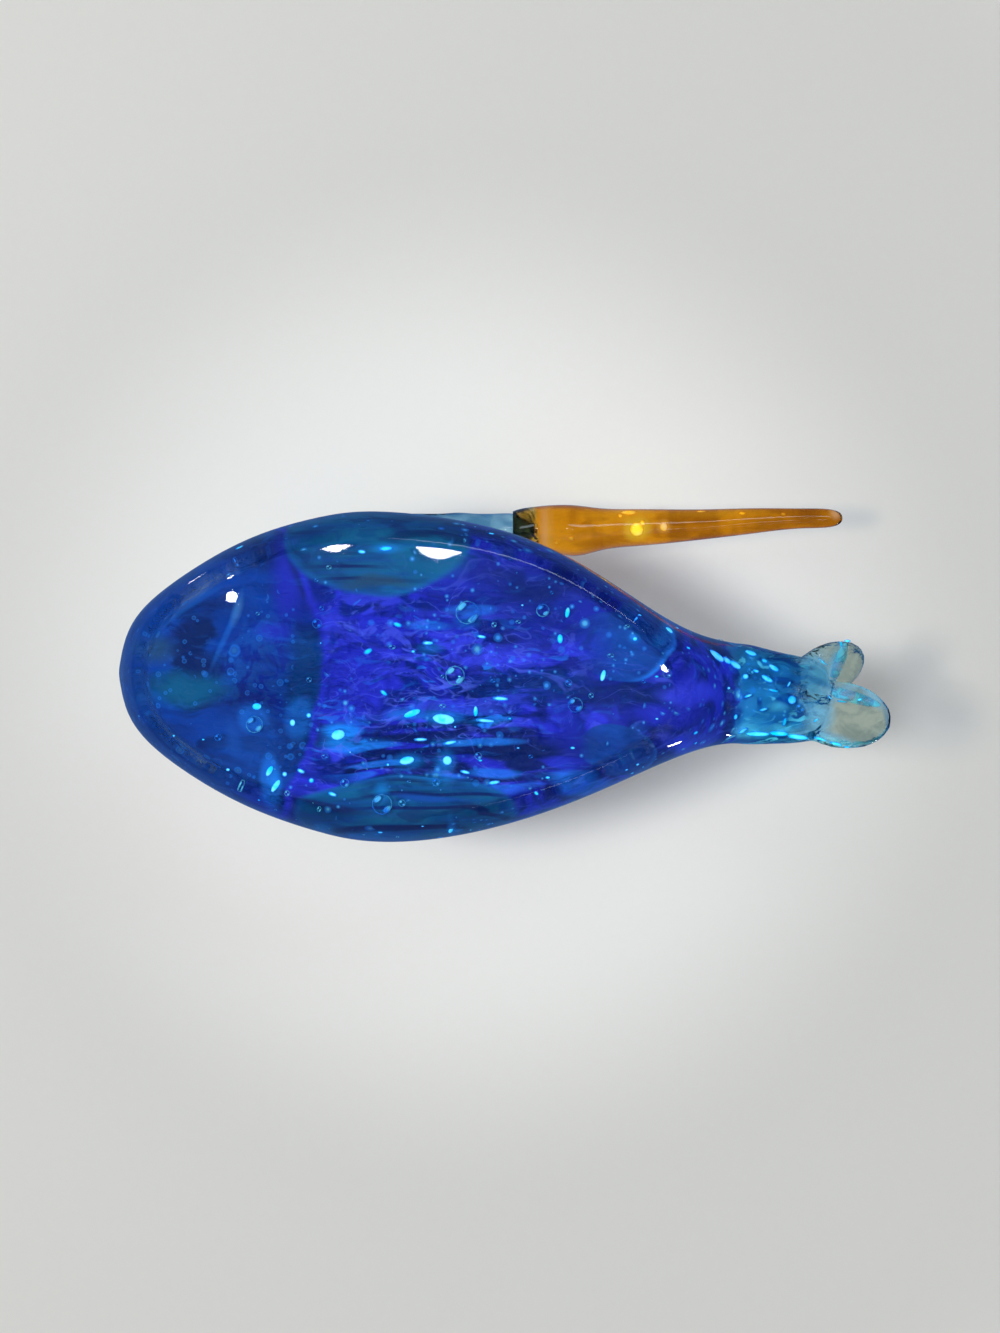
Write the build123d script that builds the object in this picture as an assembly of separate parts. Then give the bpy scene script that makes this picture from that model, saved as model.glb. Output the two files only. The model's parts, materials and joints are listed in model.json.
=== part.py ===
from build123d import *
from math import cos, radians, sin, sqrt
import os

# Glass figurine of a long-billed bird that rests on its belly, with its head turned back along its flank.
# X runs from the breast to the tail, Y across the body and Z up from the flat base. The origin lies on the
# base, about its middle. Sizes are in millimetres and angles in degrees.

# Body
body_length = 121.0
body_width = 64.0
body_height = 41.0
widest_level = 13.5
lower_radius = 25.5
base_rim_radius = 1.6
tail_rise = 9.0
tail_sway = 3.8
base_middle_share = 0.48

# Layers inside the body
casing_thickness = 3.0
breast_reach = 41.3
breast_round = 48.0

# Wings
wing_length = 60.0
wing_breadth = 18.0
wing_thickness = 2.0
wing_middle_x = 3.0
wing_angle = 40.0
wing_tip_radius = 2.0
groove_length = 38.0
groove_width = 1.1
groove_depth = 0.9
groove_bow = 1.5

# Neck
neck_root_diameter = 26.0
neck_diameter = 7.8
neck_rise = 31.0
neck_end_tilt = 16.0

# Head
head_length = 17.6
head_width = 7.4
head_height = 11.2
head_offset = 29.9
eye_diameter = 2.3
eye_rise = 2.6
eye_proud = 0.5
eye_gap = 1.0

# Bill
bill_length = 68.4
bill_lap = 5.8
bill_lip = 0.4
bill_wall = 1.6
bill_drop = 6.0
bill_sway = 2.4

# Tail
stem_length = 17.5
stem_end_width = 15.4
stem_end_height = 9.0
lobe_thickness = 6.2
right_lobe_length = 20.5
right_lobe_width = 13.6
right_lobe_reach = 20.4
right_lobe_offset = 4.2
right_lobe_rise = 0.4
left_lobe_length = 16.8
left_lobe_width = 12.6
left_lobe_reach = 18.1
left_lobe_offset = -4.5
left_lobe_rise = 5.6
streak_width = 2.5
streak_thickness = 1.8
right_streak_length = 12.0
right_streak_along = 1.5
right_streak_across = -3.5
right_streak_turn = 8.0
left_streak_length = 9.0
left_streak_along = 2.3
left_streak_across = -1.0
left_streak_turn = -51.0

# Turns of the lobes about X, Y and Z
right_lobe_turn = (-14, -4, 7)
left_lobe_turn = (36, -20, -14)

# Where the pieces lie
half_width = body_width / 2
upper_radius = body_height - widest_level
breast_x = -base_middle_share * body_length
tail_joint_x = breast_x + body_length
tail_level = widest_level + tail_rise
bill_root_width = head_width + 2 * bill_wall
bill_root_height = head_height + 2 * bill_lip

# Along the body, then half width, upper radius, lower radius, sway to the side and rise of the middle,
# each as a share of the body's own size.
body_station_shares = [
    (0.018, 0.255, 0.25, 0.30, -0.09, 0.00),
    (0.050, 0.422, 0.46, 0.62, -0.09, 0.00),
    (0.100, 0.574, 0.64, 0.85, -0.08, 0.00),
    (0.180, 0.758, 0.81, 0.95, -0.08, 0.00),
    (0.260, 0.886, 0.92, 0.98, -0.05, 0.00),
    (0.360, 0.985, 0.99, 1.00, 0.05, 0.00),
    (0.460, 0.998, 1.00, 1.00, 0.15, 0.00),
    (0.620, 0.893, 0.93, 1.00, 0.18, 0.00),
    (0.770, 0.662, 0.74, 0.92, 0.43, 0.01),
    (0.850, 0.497, 0.57, 0.78, 0.70, 0.08),
    (0.910, 0.388, 0.44, 0.62, 0.86, 0.32),
    (1.000, 0.309, 0.31, 0.33, 1.00, 1.00),
]

# Along the body, across it from the middle to the head, up from the back to the top of the arch, and
# diameter from the neck's own to the root's. The last row is the joint with the head.
neck_station_shares = [
    (0.224, -0.13, -0.40, 1.00),
    (0.205, -0.18, 0.02, 0.56),
    (0.205, -0.30, 0.42, 0.22),
    (0.242, -0.56, 0.78, 0.09),
    (0.320, -0.86, 0.96, 0.03),
    (0.400, -0.98, 0.93, 0.01),
    (0.473, -1.00, 0.78, 0.00),
    (0.538, -1.00, 0.64, 0.00),
]

# Along the head, then its width, height and rise of its middle, as shares of the head's own size.
head_station_shares = [
    (0.25, 0.98, 0.86, 0.02),
    (0.52, 1.00, 1.00, 0.04),
    (0.72, 0.98, 0.95, 0.02),
    (0.90, 0.72, 0.72, 0.00),
]

# Along the bill, then its width, height, sway to the side and drop, as shares of the bill's own size.
bill_station_shares = [
    (0.060, 0.90, 0.96, 0.10, 0.03),
    (0.115, 0.92, 0.97, 0.20, 0.06),
    (0.185, 1.00, 1.00, 0.02, 0.12),
    (0.270, 0.83, 0.87, 0.12, 0.19),
    (0.375, 0.73, 0.76, 0.26, 0.28),
    (0.570, 0.60, 0.61, 0.50, 0.47),
    (0.740, 0.49, 0.48, 0.82, 0.67),
    (0.890, 0.39, 0.37, 1.00, 0.86),
    (0.955, 0.36, 0.34, 1.00, 0.94),
    (0.985, 0.27, 0.25, 1.00, 0.98),
]

# Where the grooves lie between the wing's middle line and its edge, as shares of half its breadth.
groove_rise_shares = [-0.55, -0.12, 0.31]

# Along the stem of the tail, then width, height and turn of the middle from the joint's to the end's.
stem_station_shares = [
    (0.30, 0.18, 0.30, 0.14),
    (0.60, 0.50, 0.65, 0.28),
    (0.85, 0.90, 0.92, 0.34),
]


def ellipse_section(x, y, z, across, above, below):
    """A section square to X: half width across, then radius above and radius below its middle."""
    top = EllipticalCenterArc((y, z), across, above, 0, arc_size=180)
    bottom = EllipticalCenterArc((y, z), across, below, 180, arc_size=180)
    return Plane.YZ.offset(x) * make_face([top, bottom])


def body_section(shares, front, length, inset):
    """The body's section at one station, drawn in by an inset all round."""
    along_share, width_share, above_share, below_share, sway_share, rise_share = shares
    return ellipse_section(
        front + along_share * length,
        sway_share * tail_sway,
        widest_level + rise_share * tail_rise,
        half_width * width_share - inset,
        upper_radius * above_share - inset,
        lower_radius * below_share - inset,
    )


def body_form(inset):
    """The body's rounded form, drawn in by an inset, before it is cut flat below."""
    front = breast_x + inset
    length = body_length - 2 * inset
    sway_share = body_station_shares[0][4]
    sections = [Vertex(front, sway_share * tail_sway, widest_level)]
    for shares in body_station_shares:
        sections.append(body_section(shares, front, length, inset))
    return loft(sections)


def above_level(form, level):
    return split(form, bisect_by=Plane.XY.offset(level), keep=Keep.TOP)


def core_space():
    """The space inside the casing, which the two core pieces fill."""
    return above_level(body_form(casing_thickness), casing_thickness)


def breast_ball():
    """A ball whose tail side is the curved border between the breast core and the body core."""
    middle_x = breast_x + breast_reach - breast_round
    return Pos(middle_x, 0, widest_level) * Sphere(breast_round)


def body_casing(outside, core):
    """The clear outer layer, with its base ground flat and the rim of the base rounded."""
    rim = outside.edges().group_by(Axis.Z)[0]
    return fillet(rim, base_rim_radius) - core


def wing_outline():
    """A leaf along X between two arcs, with its ends rounded."""
    front = (-wing_length / 2, 0)
    tip = (wing_length / 2, 0)
    upper = ThreePointArc(front, (0, wing_breadth / 2), tip)
    lower = ThreePointArc(tip, (0, -wing_breadth / 2), front)
    outline = make_face([upper, lower])
    return fillet(outline.vertices(), wing_tip_radius)


def groove_outline(rise_share):
    """A narrow slot with round ends, bowed along the wing."""
    rise = rise_share * wing_breadth / 2
    half_length = groove_length / 2
    arc = ThreePointArc((-half_length, rise), (0, rise + groove_bow), (half_length, rise))
    return SlotArc(arc, groove_width)


def wing_prism(outline, side):
    """An outline carried straight out from the body's middle line to the upper flank on one side."""
    outward = (0, side * cos(radians(wing_angle)), sin(radians(wing_angle)))
    plane = Plane((wing_middle_x, 0, widest_level), x_dir=(1, 0, 0), z_dir=outward)
    return extrude(plane * outline, amount=body_width)


def wing(side, body):
    """A leaf-shaped pad on the flank, with grooves along it."""
    layer = body_form(-wing_thickness) - body
    pad = wing_prism(wing_outline(), side) & layer
    groove_floor = body_form(groove_depth - wing_thickness)
    for rise_share in groove_rise_shares:
        pad = pad - (wing_prism(groove_outline(rise_share), side) - groove_floor)
    return pad


def neck_places():
    """The middle of each section of the neck, from the root inside the body to the head."""
    places = []
    for along_share, across_share, rise_share, _ in neck_station_shares:
        x = breast_x + along_share * body_length
        y = across_share * head_offset
        z = body_height + rise_share * neck_rise
        places.append(Vector(x, y, z))
    return places


def head_joint():
    """The plane where the neck ends and the head starts, tilted forward and down."""
    tilt = radians(neck_end_tilt)
    return Plane(neck_places()[-1], x_dir=(0, 1, 0), z_dir=(cos(tilt), 0, -sin(tilt)))


def neck(body):
    """A rod that tapers from a broad root on the breast, arches back and comes down to the head."""
    places = neck_places()
    sections = []
    for number, place in enumerate(places[:-1]):
        before = places[max(number - 1, 0)]
        along = places[number + 1] - before
        share = neck_station_shares[number][3]
        diameter = neck_diameter + share * (neck_root_diameter - neck_diameter)
        sections.append(Plane(place, x_dir=along.cross(Vector(0, 0, 1)), z_dir=along) * Circle(diameter / 2))
    sections.append(head_joint() * Circle(neck_diameter / 2))
    return loft(sections) - body


def upright_section(x, y, z, width, height):
    return Plane((x, y, z), x_dir=(0, 1, 0), z_dir=(1, 0, 0)) * Ellipse(width / 2, height / 2)


def head_form():
    """The head with its nose, which reaches into the bill."""
    start = head_joint().origin
    sections = [head_joint() * Circle(neck_diameter / 2)]
    for along_share, width_share, height_share, rise_share in head_station_shares:
        section = upright_section(
            start.X + along_share * head_length,
            start.Y,
            start.Z + rise_share * head_height,
            width_share * head_width,
            height_share * head_height,
        )
        sections.append(section)
    sections.append(Vertex(start.X + head_length, start.Y, start.Z))
    return loft(sections)


def bill_front_x():
    """Where the bill's lip lies round the head."""
    return head_joint().origin.X + head_length - bill_lap


def eye(side):
    """A bead sunk into the side of the head, just before the bill's lip."""
    start = head_joint().origin
    radius = eye_diameter / 2
    cheek = head_width / 2 * sqrt(1 - (2 * eye_rise / head_height) ** 2)
    x = bill_front_x() - eye_gap - radius
    return Pos(x, start.Y + side * (cheek + eye_proud - radius), start.Z + eye_rise) * Sphere(radius)


def bill_form():
    """The bill from its lip round the head to its swollen tip, before the head is taken out of it."""
    start = head_joint().origin
    front = bill_front_x()
    lip_level = start.Z + head_station_shares[1][3] * head_height
    lip_width = head_width + 2 * bill_lip
    sections = [upright_section(front, start.Y, lip_level, lip_width, bill_root_height)]
    for along_share, width_share, height_share, sway_share, drop_share in bill_station_shares:
        section = upright_section(
            front + along_share * bill_length,
            start.Y - sway_share * bill_sway,
            lip_level - drop_share * bill_drop,
            width_share * bill_root_width,
            height_share * bill_root_height,
        )
        sections.append(section)
    sections.append(Vertex(front + bill_length, start.Y - bill_sway, lip_level - bill_drop))
    return loft(sections)


def tail_stem():
    """Glass drawn out of the body's end and pinched flatter towards the lobes."""
    joint_shares = body_station_shares[-1]
    joint_half_width = joint_shares[1] * half_width
    joint_above = joint_shares[2] * upper_radius
    joint_below = joint_shares[3] * lower_radius
    end_half_width = stem_end_width / 2
    end_radius = stem_end_height / 2
    sections = [body_section(joint_shares, breast_x, body_length, 0)]
    for along_share, width_share, height_share, turn_share in stem_station_shares:
        section = ellipse_section(
            tail_joint_x + along_share * stem_length,
            tail_sway * (1 + turn_share),
            tail_level,
            joint_half_width + width_share * (end_half_width - joint_half_width),
            joint_above + height_share * (end_radius - joint_above),
            joint_below + height_share * (end_radius - joint_below),
        )
        sections.append(section)
    end_turn_share = stem_station_shares[-1][3]
    sections.append(Vertex(tail_joint_x + stem_length, tail_sway * (1 + end_turn_share), tail_level))
    return loft(sections)


def ellipsoid(length, width, thickness):
    return scale(Sphere(1), by=(length / 2, width / 2, thickness / 2))


def lobe_place(reach, offset, rise, turn):
    return Pos(tail_joint_x + reach, tail_sway + offset, tail_level + rise) * Rot(*turn)


def lobe_streak(place, along, across, turn, length):
    """A thread of coloured glass that lies in the middle plane of a lobe."""
    return place * Pos(along, across, 0) * Rot(0, 0, turn) * ellipsoid(length, streak_width, streak_thickness)


def make_pieces():
    """Every piece of the figurine by its name."""
    body = above_level(body_form(0), 0)
    core = core_space()
    ball = breast_ball()
    pieces = {
        "body_casing": body_casing(body, core),
        "breast_core": core & ball,
        "body_core": core - ball,
        "left_wing": wing(-1, body),
        "right_wing": wing(1, body),
        "neck": neck(body),
    }
    left_eye = eye(1)
    right_eye = eye(-1)
    head = head_form()
    pieces["head"] = head - left_eye - right_eye
    pieces["left_eye"] = left_eye
    pieces["right_eye"] = right_eye
    pieces["bill"] = bill_form() - head
    stem = tail_stem()
    right_place = lobe_place(right_lobe_reach, right_lobe_offset, right_lobe_rise, right_lobe_turn)
    left_place = lobe_place(left_lobe_reach, left_lobe_offset, left_lobe_rise, left_lobe_turn)
    right_lobe = right_place * ellipsoid(right_lobe_length, right_lobe_width, lobe_thickness) - stem
    left_lobe = left_place * ellipsoid(left_lobe_length, left_lobe_width, lobe_thickness) - stem - right_lobe
    right_streak = lobe_streak(
        right_place, right_streak_along, right_streak_across, right_streak_turn, right_streak_length
    )
    left_streak = lobe_streak(
        left_place, left_streak_along, left_streak_across, left_streak_turn, left_streak_length
    )
    right_streak = right_streak - stem
    left_streak = left_streak - stem - right_lobe
    pieces["tail_stem"] = stem
    pieces["tail_lobe_right"] = right_lobe - right_streak
    pieces["tail_lobe_left"] = left_lobe - left_streak
    pieces["tail_streak_right"] = right_streak
    pieces["tail_streak_left"] = left_streak
    return pieces


os.makedirs("parts", exist_ok=True)
for name, piece in make_pieces().items():
    export_step(piece, f"parts/{name}.step")
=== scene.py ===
import json
import math
import random

import bpy
from mathutils import Euler, Matrix, Vector

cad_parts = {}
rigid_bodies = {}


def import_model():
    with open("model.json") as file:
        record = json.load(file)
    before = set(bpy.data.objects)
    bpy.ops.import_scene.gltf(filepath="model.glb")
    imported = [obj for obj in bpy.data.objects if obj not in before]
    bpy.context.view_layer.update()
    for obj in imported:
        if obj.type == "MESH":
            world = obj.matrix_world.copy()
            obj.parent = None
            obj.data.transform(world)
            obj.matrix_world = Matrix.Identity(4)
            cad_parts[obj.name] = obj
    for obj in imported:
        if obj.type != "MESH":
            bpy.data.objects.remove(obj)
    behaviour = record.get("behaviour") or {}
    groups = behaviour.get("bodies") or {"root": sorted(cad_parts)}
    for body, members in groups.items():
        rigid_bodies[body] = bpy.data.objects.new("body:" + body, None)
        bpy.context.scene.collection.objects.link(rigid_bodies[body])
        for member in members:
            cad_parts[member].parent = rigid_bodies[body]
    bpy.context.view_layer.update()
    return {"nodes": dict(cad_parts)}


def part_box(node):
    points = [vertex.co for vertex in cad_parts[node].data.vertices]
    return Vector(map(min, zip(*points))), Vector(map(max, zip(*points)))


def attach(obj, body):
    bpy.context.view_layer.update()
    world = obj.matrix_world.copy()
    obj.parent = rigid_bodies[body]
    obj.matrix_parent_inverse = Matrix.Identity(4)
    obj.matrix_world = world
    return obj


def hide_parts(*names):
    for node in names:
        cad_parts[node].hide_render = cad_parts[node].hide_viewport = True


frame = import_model()

bl_info = {
    "name": "Long-billed glass bird",
    "version": (1, 0, 0),
    "blender": (4, 5, 0),
    "location": "View3D > Sidebar > Glass bird",
    "description": "Dresses the cast solids of a glass bird with layered, seeded and streaked glass",
    "category": "Object",
}

MM = 0.001
ROOT = "root"
BASE_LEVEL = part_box("body_casing")[0].z
CORE_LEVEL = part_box("body_core")[0].z
CASING_DEPTH = CORE_LEVEL - BASE_LEVEL
SKIN_NODES = ("body_casing", "neck", "head", "tail_stem", "tail_lobe_left", "tail_lobe_right")
# Corners of a cast solid's triangles that lie nearer than this are one
WELD = 2e-6
GLASS_IOR = 1.45

# Camera, seen from below as in the photo
CAMERA_PLACE = (0.01615, -0.00152, -0.6)
CAMERA_LENS = 85.28
CAMERA_SENSOR = 36.0

# Papers of the stage: reach, and how far the floor lies under the base and the backdrop over the neck
FLOOR_REACH = 0.9
FLOOR_GAP = 0.0004
BACKDROP_REACH = 0.30
BACKDROP_GAP = 0.003
# Painted pool of light on the backdrop: middle, where it starts and stops fading, and what is left beyond
BACKDROP_PAINTED_LIGHT = ((0.012, 0.0, 0.0), 0.045, 0.115, 0.76)

# What the lamps aim at, and the colour of those that draw the rim
LAMP_AIM = (0.01, 0, 0.02)
RIM_COLOUR = (0.70, 0.84, 1.0)
# Soft lamps that no glass mirrors: name, place, size and power as a share of the setting
SOFT_LAMPS = [
    ("soft key below", (-0.22, 0.0, -0.62), 0.12, 1.24),
    ("soft key above", (-0.30, -0.35, 0.75), 0.35, 1.0),
    ("fill above", (0.55, 0.30, 0.50), 0.25, 0.4),
]
# Small bright lamps on both sides, mirrored by flanks, neck and bill: name, place, width and height
SIDE_SPARKS = [
    ("side spark one", (-0.36, -0.46, 0.34), 0.05, 0.03),
    ("side spark two", (0.40, 0.44, 0.38), 0.04, 0.03),
]
SIDE_SPARK_LEVEL = 26.0
# Lamps beside the camera that draw a pale line along the base's rim: name, place, width, height and level
RIM_LAMPS = [
    ("rim lamp", (0.11, -0.25, -0.54), 0.27, 0.12, 3.6),
    ("low rim lamp", (0.11, 0.24, -0.54), 0.13, 0.06, 2.6),
]
# Small lamps that the base mirrors: name, place across and size in millimetres, turn in degrees and level
SPARK_DEPTH = -0.6
SPARKS = [
    ("spark one", -6.3, -49.5, 18.0, 14.0, 8, 0.6), ("spark two", -46.5, -51.0, 11.0, 12.0, -25, 0.6),
    ("spark three", -85.8, -28.0, 4.0, 4.0, 0, 1.0), ("spark four", 79.3, -1.1, 3.4, 3.0, 0, 1.0),
    ("spark five", -88.0, -39.0, 3.4, 2.6, -35, 0.8),
]

# Where the skin changes its colour: along X into the tail, and upwards into the neck
TAIL_TURN = (0.0605, 0.0665)
NECK_TURN = (0.0405, 0.0500)
# Where the tail's lobes turn clear: the middle and half size of each
LOBE_CLEAR = [
    ((0.0875, 0.0090, 0.0225), (0.0090, 0.0072, 0.010)),
    ((0.0840, -0.0015, 0.0290), (0.0070, 0.0062, 0.009)),
]
# Aqua flows that run into the lobes: middle and half sizes in millimetres and turn in degrees
LOBE_FLOWS = [
    ((79.8, 3.2, 22.0), (3.4, 1.3, 6.0), 35), ((84.5, 3.4, 22.0), (3.6, 1.2, 6.0), -18),
    ((89.6, 4.6, 22.0), (3.0, 1.2, 6.0), 42), ((82.3, -3.2, 28.0), (4.6, 1.1, 8.0), -62),
    ((80.5, 13.0, 22.0), (5.5, 1.6, 6.0), 14), ((79.0, 8.0, 22.0), (2.6, 3.4, 6.0), 0),
    ((77.5, -0.4, 22.0), (4.6, 3.4, 9.0), 0),
]
# Pale and dark flows over them, some painted light and shade: pale bands along the tail's lower edge and a
# pale spot on the upper lobe are painted highlights, and a dark blue stroke in the crease is painted shade.
# Middle and half sizes in millimetres, turn in degrees and colour
LOBE_LIGHTS = [
    ((81.8, 13.7, 21.0), (4.4, 1.0, 7.0), 15, "tail_pale"),
    ((71.5, 12.4, 18.0), (7.0, 0.8, 7.0), 3, "tail_pale"),
    ((80.0, 3.0, 20.0), (2.2, 0.7, 6.0), 33, "aqua_pale"),
    ((84.5, 3.0, 20.0), (3.0, 0.7, 6.0), -18, "aqua_pale"),
    ((89.8, 4.4, 20.0), (2.8, 0.7, 6.0), 41, "aqua_pale"),
    ((92.6, 9.6, 20.0), (0.6, 3.4, 6.0), -14, "aqua"), ((77.8, 0.8, 22.0), (3.6, 3.0, 9.0), 0, "tail"),
    ((78.4, 1.4, 20.0), (2.6, 0.8, 6.0), 22, "tail_deep"),
    ((84.4, -7.0, 27.0), (1.6, 0.7, 6.0), 0, "tail_pale"),
]

# Patterns of noise in the gather: scale, detail, roughness, distortion, stretch, shift, turn, and the two
# levels between which each sets in
UNMOVED = (0, 0, 0)
PATTERNS = {
    "clouds": (125.0, 2.0, 0.5, 1.0, (0.75, 1.0, 1.0), UNMOVED, 0, 0.42, 0.58),
    "painted light folds": (210.0, 2.0, 0.5, 0.9, (0.5, 1.0, 1.0), (0.1, 0.2, 0), 0, 0.54, 0.63),
    "painted shade hollows": (165.0, 2.5, 0.5, 0.9, (0.45, 1.0, 1.0), (0.3, 0.1, 0), 0, 0.54, 0.61),
    "dashes": (320.0, 2.5, 0.6, 1.1, (0.38, 1.0, 1.0), (0.5, 0.1, 0), 0, 0.575, 0.66),
    "flecks": (430.0, 1.5, 0.5, 0.9, (0.42, 1.0, 1.0), (0.2, 0.3, 0), 0, 0.60, 0.66),
    "front flecks": (330.0, 2.0, 0.5, 1.0, (0.8, 1.3, 1.0), UNMOVED, -0.5, 0.60, 0.67),
    "mottle": (300.0, 2.0, 0.5, 0.8, (1.0, 0.8, 1.0), UNMOVED, 0, 0.44, 0.58),
    "sheen": (160.0, 3.0, 0.55, 0.6, (0.35, 1, 1), UNMOVED, 0, 0.38, 0.66),
    "fading": (110.0, 2.0, 0.5, 0.0, (0.3, 1, 1), (0.2, 0, 0), 0, 0.42, 0.60),
    "tail patches": (170.0, 2.0, 0.5, 1.6, (0.6, 1, 1), UNMOVED, 0, 0.40, 0.52),
    "flares": (330.0, 2.0, 0.5, 1.2, (0.5, 1, 1), (0.1, 0.1, 0), 0, 0.56, 0.64),
}
# Depth that an oval zone of the gather reaches, for most and for those that reach through it
ZONE_DEPTH = 0.02
STROKE_DEPTH = 0.05
FRONT_DEPTH = 0.048
# The round front of the gather: radius, its middle along X, and that of the border behind it
FRONT_RADIUS = 46.6
FRONT_X = -64.8
BORDER_X = -63.6
# Soft places in the gather: middle over the base and half sizes in millimetres, softness, colour and share
FRONT_PLACES = [
    (-33, -16, 8, 5, 0.7, "front", 0.7), (-22.5, -18, 5, 9, 0.6, "cobalt", 0.85),
    (-24.5, -18, 2.5, 7, 0.8, "violet", 0.55),
]
ROUND_PLACES = [
    (-32, 7, 6, 4, 0.8, "night", 0.5), (-31, 15, 7.5, 6, 0.7, "leaf", 0.5),
    (-47, 12, 6, 3, 0.7, "night", 0.35), (-40, -12, 6, 4, 0.8, "slate", 0.4),
    (-43.5, 3.0, 7, 2.8, 0.7, "green", 0.85),
]
BACK_PLACES = [
    (-12, 2, 5.5, 10, 0.5, "violet", 0.8), (-4, -8, 6, 4, 0.7, "violet", 0.6),
    (8, -17, 7, 3, 0.6, "violet", 0.6), (19, -14, 8, 4.5, 0.5, "night", 0.55),
    (16, -3.5, 8, 1.7, 0.6, "bright", 0.9), (22, -14, 17, 7, 0.6, "cobalt", 0.7),
    (25, -16.5, 7, 2.6, 0.6, "night", 0.6), (13, -19.5, 6, 2.0, 0.6, "night", 0.5),
    (31, -8.5, 5, 1.6, 0.7, "night", 0.5), (22, 2.2, 11, 3.2, 0.5, "mark", 0.85),
    (37, 4.0, 12, 2.6, 0.6, "slate", 0.8), (52, 3.5, 5, 1.6, 0.7, "bright", 0.9),
    (51, 12, 5, 1.3, 0.7, "bright", 0.9), (27, 13.5, 4, 6, 0.7, "violet", 0.8),
]
# Strokes in the front gather: middle and half sizes in millimetres, turn in degrees, colour and share
FRONT_STROKES = [
    # The second stroke, in azure, and the third, in aqua, are a painted reflection: a soft pale streak
    # running down from a highlight on the base
    (-21.6, -16.0, 0.8, 7.5, -23, "night", 0.60), (-36.9, -7.8, 0.55, 6.4, 19, "azure", 0.22),
    (-35.2, -12.0, 0.8, 2.4, 16, "aqua", 0.50), (-44.0, -13.5, 6.5, 0.7, -38, "azure", 0.22),
    (-41.0, -12.0, 6.0, 0.7, -36, "night", 0.40), (-38.0, -17.0, 6.0, 0.6, -34, "leaf", 0.80),
    (-46.0, -8.5, 4.5, 0.8, -44, "night", 0.50), (-50.5, -7.5, 4.5, 0.5, -50, "leaf", 0.80),
    (-39.5, -19.0, 5.0, 0.5, -33, "night", 0.50), (-27.5, -8.0, 3.2, 1.5, 0, "violet", 0.55),
    (-53.0, 6.0, 1.2, 4.0, -25, "leaf", 0.70), (-49.0, 10.5, 5.0, 0.7, 28, "leaf", 0.80),
    (-44.0, 14.5, 7.0, 0.8, 30, "leaf", 0.70), (-36.0, 16.0, 6.0, 0.7, 26, "night", 0.35),
    (-39.0, 20.5, 8.0, 0.8, 32, "leaf", 0.80), (-34.5, 12.5, 1.2, 3.4, -12, "leaf", 0.60),
    (-29.0, 23.0, 5.0, 1.0, 30, "violet", 0.50),
]
# Bars and pools in the belly: middle over the base and half sizes in millimetres, colour and share
BELLY_BARS = [
    (-13.5, 10.4, 3.4, 1.2, "azure", 0.85), (-10.0, 13.6, 6.0, 0.7, "azure", 0.70),
    (-7.0, 17.2, 5.5, 0.6, "azure", 0.60), (3.0, 17.0, 2.7, 1.3, "night", 0.95),
    (-6.5, 15.3, 5.0, 0.7, "night", 0.90), (-12.5, 17.8, 1.0, 0.5, "night", 0.95),
    (17.5, 11.6, 6.0, 0.9, "night", 0.90), (20.0, 15.4, 7.6, 1.5, "night", 0.85),
    (13.0, 13.6, 7.0, 0.7, "azure", 0.60), (5.0, 8.4, 4.2, 1.0, "azure", 0.55),
    (14.5, 8.9, 3.6, 0.6, "azure", 0.70), (6.5, 20.4, 4.0, 1.3, "azure", 0.60),
    (15.5, 18.9, 5.0, 0.8, "azure", 0.50), (-3.0, 12.4, 4.0, 0.5, "night", 0.70),
    (24.5, 19.5, 4.0, 0.9, "night", 0.70), (31.8, 19.8, 5.0, 1.6, "azure", 0.45),
    (3.2, -9.6, 4.2, 1.0, "azure", 0.45), (11.5, -12.8, 4.5, 1.1, "azure", 0.45),
    (17.5, -7.6, 3.0, 0.9, "night", 0.60), (-16.0, -9.5, 2.6, 2.2, "bright", 0.45),
    (-38.0, -17.5, 5.5, 1.2, "front", 0.90), (-27.0, 20.0, 2.0, 4.0, "azure", 0.40),
    (-21.5, 8.5, 2.5, 4.0, "azure", 0.30), (-30.5, 8.5, 3.0, 2.8, "azure", 0.30),
]
# Lenses of teal glass on both flanks: middle and half sizes in millimetres, and width of the painted lit edge
LENSES = ((-7.6, -27.5, 18.6, 12.6, 0.6), (-1.2, 26.2, 22.8, 7.0, -0.5))
LENS_PLACES = [(2.5, -21.5, 7, 2.6, 0.6, "green", 0.6), (-8, -17.3, 6, 1.1, 0.6, "olive", 0.7)]
# Lines in the lenses: middle and half sizes in millimetres, softness, turn in degrees, colour and share
LENS_LINES = [
    (-3.0, 27.6, 14, 0.6, 0.4, 0, "night", 0.9), (-16.0, 24.4, 6.0, 0.7, 0.5, 12, "night", 0.85),
    (-4.0, 22.6, 8.0, 0.4, 0.5, -4, "night", 0.7), (2.0, 23.2, 6.0, 0.5, 0.6, 3, "leaf", 0.8),
]
# Marks at the tail root: middle, half sizes and onset along X in millimetres, and share of the painted lit
# edge
TAIL_MARKS = ((40, -5.6, 9.5, 6.4, 29, 42, 0.9), (38.6, 13.9, 7.2, 4.2, 31, 34, 0.25))
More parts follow.
